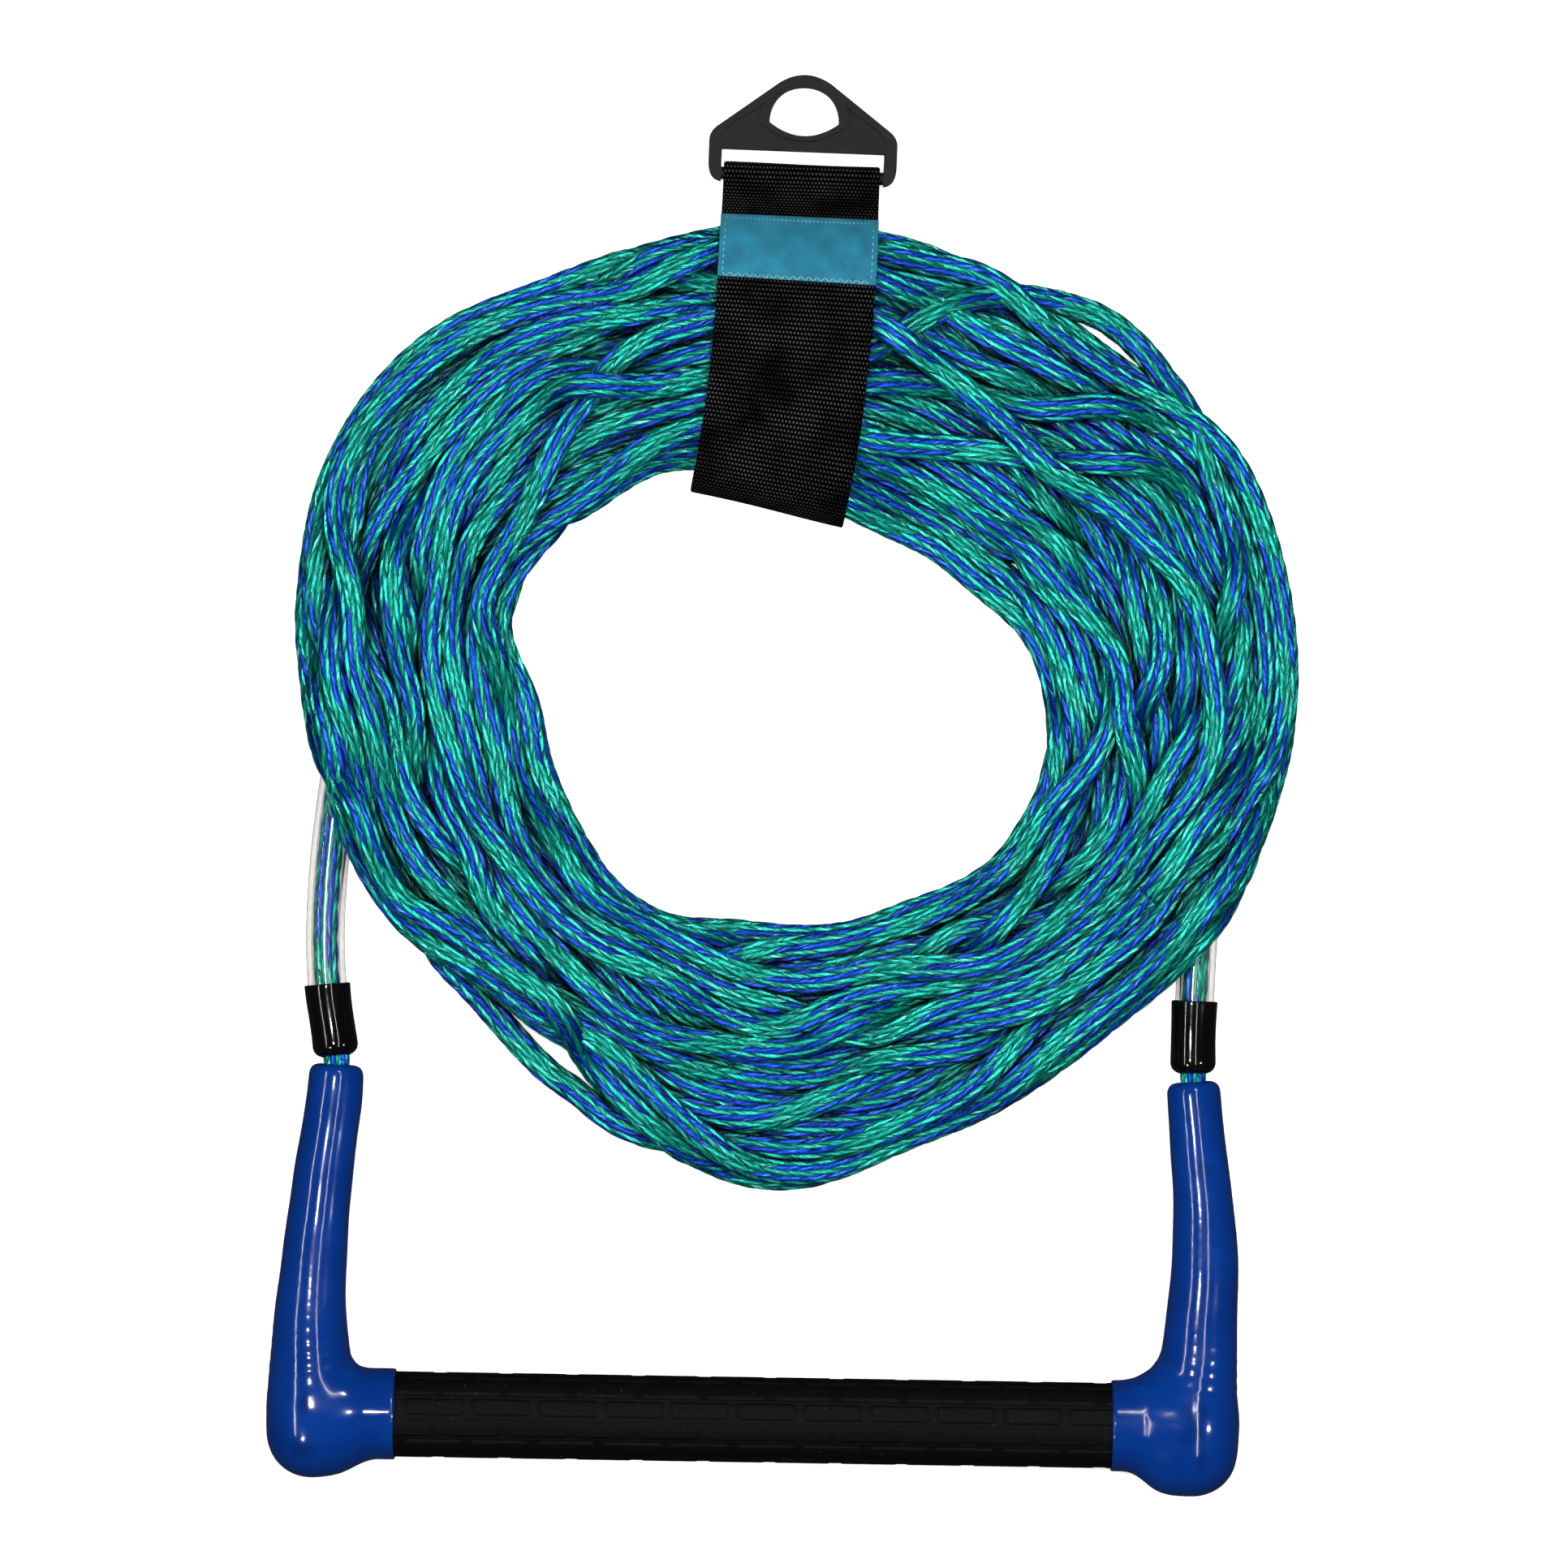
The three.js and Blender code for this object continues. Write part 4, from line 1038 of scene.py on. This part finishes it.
def build_bridle():
    """The bridle rope from neck to neck, under the caps, tubes and coil."""
    inside = NECK_INSIDE - 1 * MM
    line = stretch(BRIDLE, inside, BRIDLE_LENGTH - inside, 1 * MM)
    radius = ROPE / 2 - 0.15 * MM
    rope, middle = rope_mesh("bridle", line, "coil", 0.41, radius=radius, flat=0.0, sides=24)
    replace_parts(rope, "bridle_rope")
    return rope, middle


def build_handle_rope():
    """The rope down one boot, through the bar and up the other boot."""
    inside = NECK_INSIDE - 1 * MM
    line = stretch(HANDLE_ROPE, inside, HANDLE_ROPE_LENGTH - inside, 1 * MM)
    radius = ROPE / 2 - 0.3 * MM
    rope, middle = rope_mesh("rope_in_handle", line, "handle", 1.3, radius=radius, flat=0.0, sides=20)
    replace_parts(rope, "handle_rope")
    waypoints(middle)  # fmt: skip


def pipe(name, path, profile, body, material, sides=48):
    """A hollow round piece along a path, from its profile."""
    points = lathe_along(path, profile, sides)
    return mesh_object(name, points, wrap_quads(len(profile), sides, loop=True), body, material)


def run(start, end, radius, step=2 * MM):
    """Profile points of equal radius between two distances."""
    count = max(2, int(abs(end - start) / step) + 1)
    return [(at, radius) for at in np.linspace(start, end, count)]


def build_clear_tube(side):
    """The clear tube over one end of the bridle. It casts no shadow on the rope inside it."""
    path = from_neck(side, CLEAR_START, CLEAR_START + CLEAR_LENGTH)
    profile = run(0, CLEAR_LENGTH, CLEAR_RADIUS) + run(CLEAR_LENGTH, 0, CLEAR_BORE)
    tube = pipe(f"clear_sleeve_{side}", path, profile, "coil", CLEAR_LOOK)
    tube.visible_shadow = False
    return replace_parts(tube, f"clear_tube_{side}")


def build_cap(side, level, shut, toward, corner):
    """A dipped cap: a rounded closed end with a hole for the rope, a slight waist and a soft lip."""
    shut -= toward * 0.4 * MM
    path = from_neck(side, shut, shut + toward * CAP_LENGTH, 0.5 * MM)
    hole, bore, lip, waist = 4.1 * MM, CLEAR_RADIUS + 0.15 * MM, 0.5 * MM, 0.25 * MM
    turn = np.linspace(0, math.pi / 2, 8)
    profile = [(CAP_FLOOR, hole), (0.6 * MM, hole), (0, hole + 0.6 * MM)]
    profile += [(corner * (1 - math.cos(t)), CAP_RADIUS - corner * (1 - math.sin(t))) for t in turn]
    profile += run(corner, CAP_LENGTH - lip, CAP_RADIUS, 1 * MM)[1:]
    for t in turn[1:]:
        profile.append((CAP_LENGTH - lip * (1 - math.sin(t)), CAP_RADIUS - lip * (1 - math.cos(t))))
    profile += [(CAP_LENGTH, bore + 0.1 * MM)] + run(CAP_LENGTH - 0.3 * MM, CAP_FLOOR, bore)
    for k, (at, radius) in enumerate(profile):
        if radius > bore * 1.05:  # on the outside
            profile[k] = at, radius - waist * math.sin(math.pi * min(1, at / CAP_LENGTH))
    cap = pipe(f"{level}_end_cap_{side}", path, profile, "coil", CAP_LOOK)
    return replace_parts(cap, f"{level}_cap_{side}")


def squared(wave):
    """A sine or cosine that makes a rounded oblong of an ellipse."""
    return np.sign(wave) * np.abs(wave) ** 0.8


def build_seizing():
    """Twine wound tightly round the tow line's end and the bridle, side by side."""
    first, last = (BRIDLE_LENGTH * share for share in (0.575, 0.63))
    path = stretch(BRIDLE, first, last, 0.2 * MM)
    inward = np.array([*COIL_CENTRE, 0]) - path
    inward[:, 2] = 0
    path = path + inward / np.linalg.norm(inward, axis=1, keepdims=True) * 4.2 * MM
    path[:, 2] = 5.2 * MM
    _, side, up = frames(path)
    sides, twine = 48, 1.6 * MM
    distance = np.linspace(0, length_of(path), len(path))
    angle = np.arange(sides) / sides * TURN
    wind = np.abs(np.cos(math.pi * (distance[:, None] / twine + angle / TURN)))
    near_end = np.minimum(distance, distance[-1] - distance)[:, None]
    taper = 1 - 0.10 * np.exp(-near_end / (1.2 * MM))
    wide = (8.5 * MM + 0.55 * MM * wind) * taper * squared(np.cos(angle))
    high = (4.35 * MM + 0.5 * MM * wind) * taper * squared(np.sin(angle))
    rings = path[:, None] + wide[..., None] * side[:, None] + high[..., None] * up[:, None]
    made = ring_mesh("seizing", rings, "coil", WHIPPING_LOOK)
    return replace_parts(made, "bridle_seizing")


on_bridle = [build_neck(side) for side in LEGS]
bridle, bridle_middle = build_bridle()
build_handle_rope()
for side in LEGS:
    on_bridle.append(build_clear_tube(side))
    on_bridle.append(build_cap(side, "lower", LOWER_CAP_START, 1, 3.6 * MM))
    on_bridle.append(build_cap(side, "upper", UPPER_CAP_END, -1, 2.0 * MM))
on_bridle.append(build_seizing())
waypoints(bridle_middle)  # fmt: skip


# ---------------------------------------------------------------- boots
BAR_WAY = np.array([math.cos(BAR_TILT), math.sin(BAR_TILT), 0.0])
BAR_ACROSS = np.array([-BAR_WAY[1], BAR_WAY[0], 0])
BOOT_WALL = 1.9 * MM
ELBOW_RADIUS = 13.2 * MM
ELBOW_END = 139 * MM  # along the bar from its centre
INNER_CORNER = {"left": 6 * MM, "right": 12 * MM}


def smooth_min(a, b, reach):
    """The lesser of two distances, with the crease between them rounded over a reach."""
    near = np.clip(0.5 + 0.5 * (b - a) / reach, 0, 1)
    return b * (1 - near) + a * near - reach * near * (1 - near)


def smooth_max(a, b, reach):
    return -smooth_min(-a, -b, reach)


def tapered_distance(points, line, radius):
    """The distance from points to a round bar along a line, whose radius changes along it."""
    best = np.full(len(points), 1.0)
    for a, b, r, s in zip(line[:-1], line[1:], radius[:-1], radius[1:]):
        way = b - a
        offset = points - a
        t = np.clip((offset @ way) / (way @ way), 0, 1)
        gap = offset - t[:, None] * way
        best = np.minimum(best, np.sqrt((gap * gap).sum(1)) - (r + (s - r) * t))
    return best


def boot_distance(side):
    """The distance function of one boot, and the box it fits in. Leg, elbow and collar are one smooth
    skin, which is then hollowed out for the rope and the bar."""
    leg = smooth_curve(LEGS[side], 4 * MM)
    line, radius = leg[:, :3], leg[:, 3]
    above = line[-1] - line[-3]  # the way out of the boot's top
    above /= np.linalg.norm(above)
    top = line[-1] + 0.4 * MM * above
    outward = -BAR_WAY if side == "left" else BAR_WAY
    bar = [BAR_CENTRE + outward * at for at in (COLLAR_END - 4 * MM, COLLAR_END + 9 * MM, ELBOW_END)]
    bar_radius = [COLLAR_RADIUS, COLLAR_RADIUS, ELBOW_RADIUS]
    rope_end = HANDLE_ROPE_ROUTE[:3] if side == "left" else HANDLE_ROPE_ROUTE[-3:]
    rope_way = smooth_curve(rope_end, 3 * MM)
    rope_radius = [3.9 * MM] * len(rope_way)

    def distance(points):
        x, y, z = points.T
        beyond = (points - top) @ above
        stem = tapered_distance(points, line, radius)
        stem = smooth_min(stem, tapered_distance(points, ELBOWS[side], [ELBOW_RADIUS] * 2), 2 * MM)
        stem = stem + 0.15 * MM * np.sin(y * 190 + x * 90) * np.sin(y * 83 + z * 160)
        from_centre = points - BAR_CENTRE
        along = from_centre @ outward
        off_axis = np.linalg.norm(from_centre - along[:, None] * outward, axis=1)
        collar = tapered_distance(points, bar, bar_radius)
        inside = np.clip((from_centre @ BAR_ACROSS - 2 * MM) / (11 * MM), 0, 1)
        inside = inside * np.clip((ELBOW_END - along) / (12 * MM), 0, 1)
        skin = smooth_min(stem, collar, 5 * MM + (INNER_CORNER[side] - 5 * MM) * inside)
        skin = smooth_max(skin, beyond, 3.8 * MM)
        skin = smooth_max(skin, COLLAR_END - along, 0.7 * MM)
        hollow = np.maximum(skin + BOOT_WALL, beyond + 10 * MM)
        socket = np.maximum(off_axis - (GRIP_RADIUS - 0.02 * MM), along - GRIP_HALF - 2 * MM)
        hollow = np.minimum(hollow, socket)
        hollow = np.minimum(hollow, tapered_distance(points, rope_way, rope_radius))
        return np.maximum(skin, -hollow)

    reach = radius.max() + 3 * MM
    spots = np.vstack([line, BAR_CENTRE + outward * COLLAR_END])
    return distance, spots.min(0) - reach, spots.max(0) + reach


def surface_net(distance, low, high, cell):
    """Points and faces where the distance is zero: one point for each cell that the surface cuts."""
    counts = np.ceil((high - low) / cell).astype(int) + 1
    ticks = [low[k] + cell * np.arange(counts[k]) for k in range(3)]
    grid = np.stack(np.meshgrid(*ticks, indexing="ij"), -1)
    value = distance(grid.reshape(-1, 3)).reshape(counts)
    cells = counts - 1

    def corner(offset):
        return value[tuple(slice(o, o + c) for o, c in zip(offset, cells))]

    total = np.zeros((*cells, 3))
    crossings = np.zeros(cells)
    for axis, near, far in itertools.product(range(3), (0, 1), (0, 1)):
        others = [k for k in range(3) if k != axis]
        offset = np.zeros(3, int)
        offset[others] = near, far
        a = corner(offset)
        offset[axis] = 1
        b = corner(offset)
        cut = (a < 0) != (b < 0)
        total[..., axis] += np.where(cut, a / np.where(cut, a - b, 1), 0)
        total[..., others[0]] += cut * near
        total[..., others[1]] += cut * far
        crossings += cut
    active = crossings > 0
    where = np.argwhere(active)
    points = low + cell * (where + total[active] / crossings[active][:, None])
    number = np.full(cells, -1)
    number[active] = np.arange(len(where))
    quads = []
    for axis in range(3):
        others = [k for k in range(3) if k != axis]
        a = np.take(value, np.arange(counts[axis] - 1), axis)
        b = np.take(value, np.arange(1, counts[axis]), axis)
        cut = np.argwhere((a < 0) != (b < 0))
        cut = cut[np.all([(cut[:, k] > 0) & (cut[:, k] < cells[k]) for k in others], 0)]
        rising = a[tuple(cut.T)] < 0
        ring = []
        for near, far in ((0, 0), (1, 0), (1, 1), (0, 1)):
            at = cut.copy()
            at[:, others] -= (near, far)
            ring.append(number[tuple(at.T)])
        ring = np.stack(ring, 1)
        outwards = ~rising if axis == 1 else rising
        quads.append(np.where(outwards[:, None], ring, ring[:, ::-1]))
    return points, np.concatenate(quads)


def pulled_onto(distance, points, rounds=2):
    """Moves points onto the surface where the distance is zero."""
    small = 0.02 * MM
    for _ in range(rounds):
        value = distance(points)
        slope = np.stack([(distance(points + small * way) - value) / small for way in np.eye(3)], 1)
        size = np.maximum((slope * slope).sum(1), 0.25)
        step = (value / size)[:, None] * slope
        points = points - np.clip(step, -0.3 * MM, 0.3 * MM)
    return points


def build_boot(side):
    """One boot's mesh, from its distance function."""
    distance, low, high = boot_distance(side)
    points, quads = surface_net(distance, low, high, 0.62 * MM)
    points = pulled_onto(distance, points)
    blue, darker = (0.001, 0.040, 0.27), (0.0005, 0.030, 0.215)
    look = vinyl_material(f"boot_vinyl_{side}", blue, darker, 0.13, BOOT_STAINS[side])
    boot = mesh_object(f"vinyl_boot_{side}", points, quads, "handle", look)
    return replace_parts(boot, f"boot_{side}")


for side in LEGS:
    build_boot(side)


# ---------------------------------------------------------------- grip and bar
GRIP_ROWS = 12
PAD_PITCH = 20.9 * MM
PAD_LENGTH = 17.6 * MM
PAD_WIDTH = 0.72  # as a share of a row
PAD_DEPTH = 0.55 * MM
PAD_CORNER = 1.0 * MM


def build_grip():
    """The rubber grip: rows of long raised pads, every other row shifted, with fine ridges between."""
    sides, rings = 240, 380
    angle = np.arange(sides) / sides
    along = np.linspace(-GRIP_HALF, GRIP_HALF, rings)
    row = angle * GRIP_ROWS + 0.02
    in_row = np.abs(row % 1 - 0.5)
    row_width = TURN * GRIP_RADIUS / GRIP_ROWS
    shift = (np.floor(row) % 2) * 0.45
    in_pad = np.abs((along[:, None] / PAD_PITCH + shift + 0.3) % 1 - 0.5)
    over_side = (in_row * row_width - row_width * PAD_WIDTH / 2)[None, :] + PAD_CORNER
    over_end = in_pad * PAD_PITCH - PAD_LENGTH / 2 + PAD_CORNER
    outside = np.hypot(np.maximum(over_side, 0), np.maximum(over_end, 0))
    edge = outside + np.minimum(np.maximum(over_side, over_end), 0) - PAD_CORNER
    pad = eased_in(np.clip(0.5 - edge / (0.5 * MM), 0, 1))
    ridge = np.exp(-(((0.5 - in_row) * row_width / (0.28 * MM)) ** 2))[None, :]
    radius = GRIP_RADIUS - PAD_DEPTH + PAD_DEPTH * pad + 0.22 * MM * ridge
    near_end = np.minimum(along + GRIP_HALF, GRIP_HALF - along)[:, None]
    rounding = GRIP_RADIUS - 0.8 * MM + np.sqrt(np.clip(near_end * 1.6 * MM, 0, None))
    radius = np.minimum(radius, rounding)
    spokes = np.cos(angle * TURN)[:, None] * BAR_ACROSS + np.sin(angle * TURN)[:, None] * UP
    outer = BAR_CENTRE + along[:, None, None] * BAR_WAY + radius[..., None] * spokes
    bore = (TUBE_RADIUS + 0.1 * MM) * spokes
    points = np.concatenate(
        [outer.reshape(-1, 3)] + [BAR_CENTRE + end * BAR_WAY + bore for end in (GRIP_HALF, -GRIP_HALF)]
    )
    quads = wrap_quads(rings + 2, sides, loop=True)
    grip = mesh_object("rubber_grip", points, quads, "handle", GRIP_LOOK)
    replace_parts(grip, "grip_sleeve")


def dress(name, material):
    """Gives a CAD node that stays as it is a better material."""
    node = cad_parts[name]
    node.data.materials.clear()
    node.data.materials.append(material)


build_grip()
dress("handle_tube", aluminium_material())
for side in LEGS:
    dress(f"end_plug_{side}", PLUG_LOOK)
dress("hanger", HANGER_LOOK)


# ---------------------------------------------------------------- strap
def strap_line():
    """The strap's middle line, as (y, z) points: tail, fold, front run, hanger's loop and rear run."""
    turn = np.radians(np.linspace(80, -80, 9))
    loop = np.stack([193 + 3 * np.cos(turn), 4 + 3 * np.sin(turn)], 1) * MM
    rear = np.array([(188, 1.5), (178, 4.3), (170, 4.6), (118, 4.6)]) * MM
    flat = np.vstack([STRAP_FRONT, loop, rear])
    line = smooth_curve(np.column_stack([0 * flat[:, 0], flat]), 0.7 * MM, 24)
    return line[:, 1:]


def ribbon(name, line, width, thick, offset, body, material, crease=0.0):
    """A flat band along a line of (y, z) points, leaned as the strap leans, its edges rounded."""
    ahead = np.gradient(line, axis=0)
    ahead /= np.linalg.norm(ahead, axis=1, keepdims=True)
    out = np.stack([-ahead[:, 1], ahead[:, 0]], 1)
    edge = thick / 2
    flat = np.linspace(-width / 2 + edge, width / 2 - edge, 41)
    turn = np.linspace(math.pi / 2, -math.pi / 2, 7)[1:-1]
    far_edge = flat[-1] + edge * np.cos(turn)
    across = np.concatenate([flat, far_edge, flat[::-1], -far_edge])
    face = np.full(len(flat), edge)
    proud = np.concatenate([face, edge * np.sin(turn), -face, -edge * np.sin(turn)])
    along = distances(line)
    wave = np.sin(across[None, :] * 110 + along[:, None] * 60) * np.sin(along[:, None] * 210 + 1.3)
    lift = offset + proud[None, :] + crease * wave
    place = line[:, None, :] + lift[..., None] * out[:, None, :]
    middle, lean = strap_middle(place[..., 0])
    rings = np.stack([
        middle + across[None, :] * np.cos(lean),
        place[..., 0] - across[None, :] * np.sin(lean),
        place[..., 1],
    ], -1)  # fmt: skip
    uv = wrap_uv(len(line), len(across), across, along, wrap=0.0)
    return ring_mesh(name, rings, body, material, uv), along[-1]


def front_between(line, low, high):
    """The stretch of the strap's front run between two heights on the page."""
    on_front = line[:, 1] > 9 * MM
    return line[on_front & (line[:, 0] >= low) & (line[:, 0] <= high)]


def stitches(name, runs, line, body, material, radius=0.22 * MM, offset=1.4 * MM):
    """Thread along the label: runs holds (across, y) ends of each stitch, laid on the front run."""
    sides, rings = 6, 6
    turn = (np.arange(sides) / sides * TURN)[None, :, None]
    t = np.linspace(0, 1, rings)
    size = radius * (0.35 + 0.65 * np.sin(math.pi * np.clip(t, 0.06, 0.94)))[:, None, None]
    all_points, all_quads, caps = [], [], []
    for k, (a, b) in enumerate(runs):
        across, y = np.outer(a, 1 - t) + np.outer(b, t)
        height = np.interp(y, line[:, 0], line[:, 1]) + offset + 0.25 * MM * np.sin(math.pi * t)
        middle, lean = strap_middle(y)
        path = np.stack([middle + across * np.cos(lean), y - across * np.sin(lean), height], 1)
        _, side, up = frames(path)
        ring = path[:, None] + size * (np.cos(turn) * side[:, None] + np.sin(turn) * up[:, None])
        first = k * rings * sides
        all_points.append(ring.reshape(-1, 3))
        all_quads.append(wrap_quads(rings, sides) + first)
        caps.append([first + s for s in range(sides)][::-1])
        caps.append([first + (rings - 1) * sides + s for s in range(sides)])
    points, quads = np.concatenate(all_points), np.concatenate(all_quads)
    return mesh_object(name, points, quads, body, material, caps=caps)


def label_runs():
    """A zigzag along the label's top and bottom, and a plain running stitch down its sides."""
    half = STRAP_WIDTH / 2 - 1.2 * MM
    runs = []
    pitch = 1.25 * MM
    for y in (LABEL_HIGH - 1.1 * MM, LABEL_LOW + 1.2 * MM):
        for k in range(int(2 * half / pitch)):
            x = -half + k * pitch
            rise = 0.65 * MM if k % 2 else -0.65 * MM
            runs.append(((x, y - rise), (x + pitch, y + rise)))
    step = 2.1 * MM
    for x in (-half + 0.2 * MM, half - 0.2 * MM):
        for k in range(int((LABEL_HIGH - LABEL_LOW - 4 * MM) / step)):
            y = LABEL_LOW + 2.3 * MM + k * step
            runs.append(((x, y), (x, y + step * 0.6)))
    return runs


LABEL_LOW, LABEL_HIGH = 157.6 * MM, 178.6 * MM
STRAP_LINE = strap_line()
LABEL_LINE = front_between(STRAP_LINE, LABEL_LOW, LABEL_HIGH)

strap, strap_length = ribbon(
    "strap", STRAP_LINE, STRAP_WIDTH, STRAP_THICK, 0, "coil", WEBBING_LOOK, crease=0.25 * MM
)
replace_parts(strap, "strap_webbing")
label, label_length = ribbon(
    "woven_label", LABEL_LINE, STRAP_WIDTH + 0.3 * MM, 0.5 * MM, 1.05 * MM, "coil", LABEL_LOOK,
    crease=0.06 * MM,
)  # fmt: skip
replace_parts(label, "strap_label")
rising = LABEL_LINE[np.argsort(LABEL_LINE[:, 0])]
thread = stitches("label_thread", label_runs(), rising, "coil", TEAL_THREAD)
dress("hook_patch", closure_material("hook_patch", hooks=True))
dress("loop_patch", closure_material("loop_patch", hooks=False))
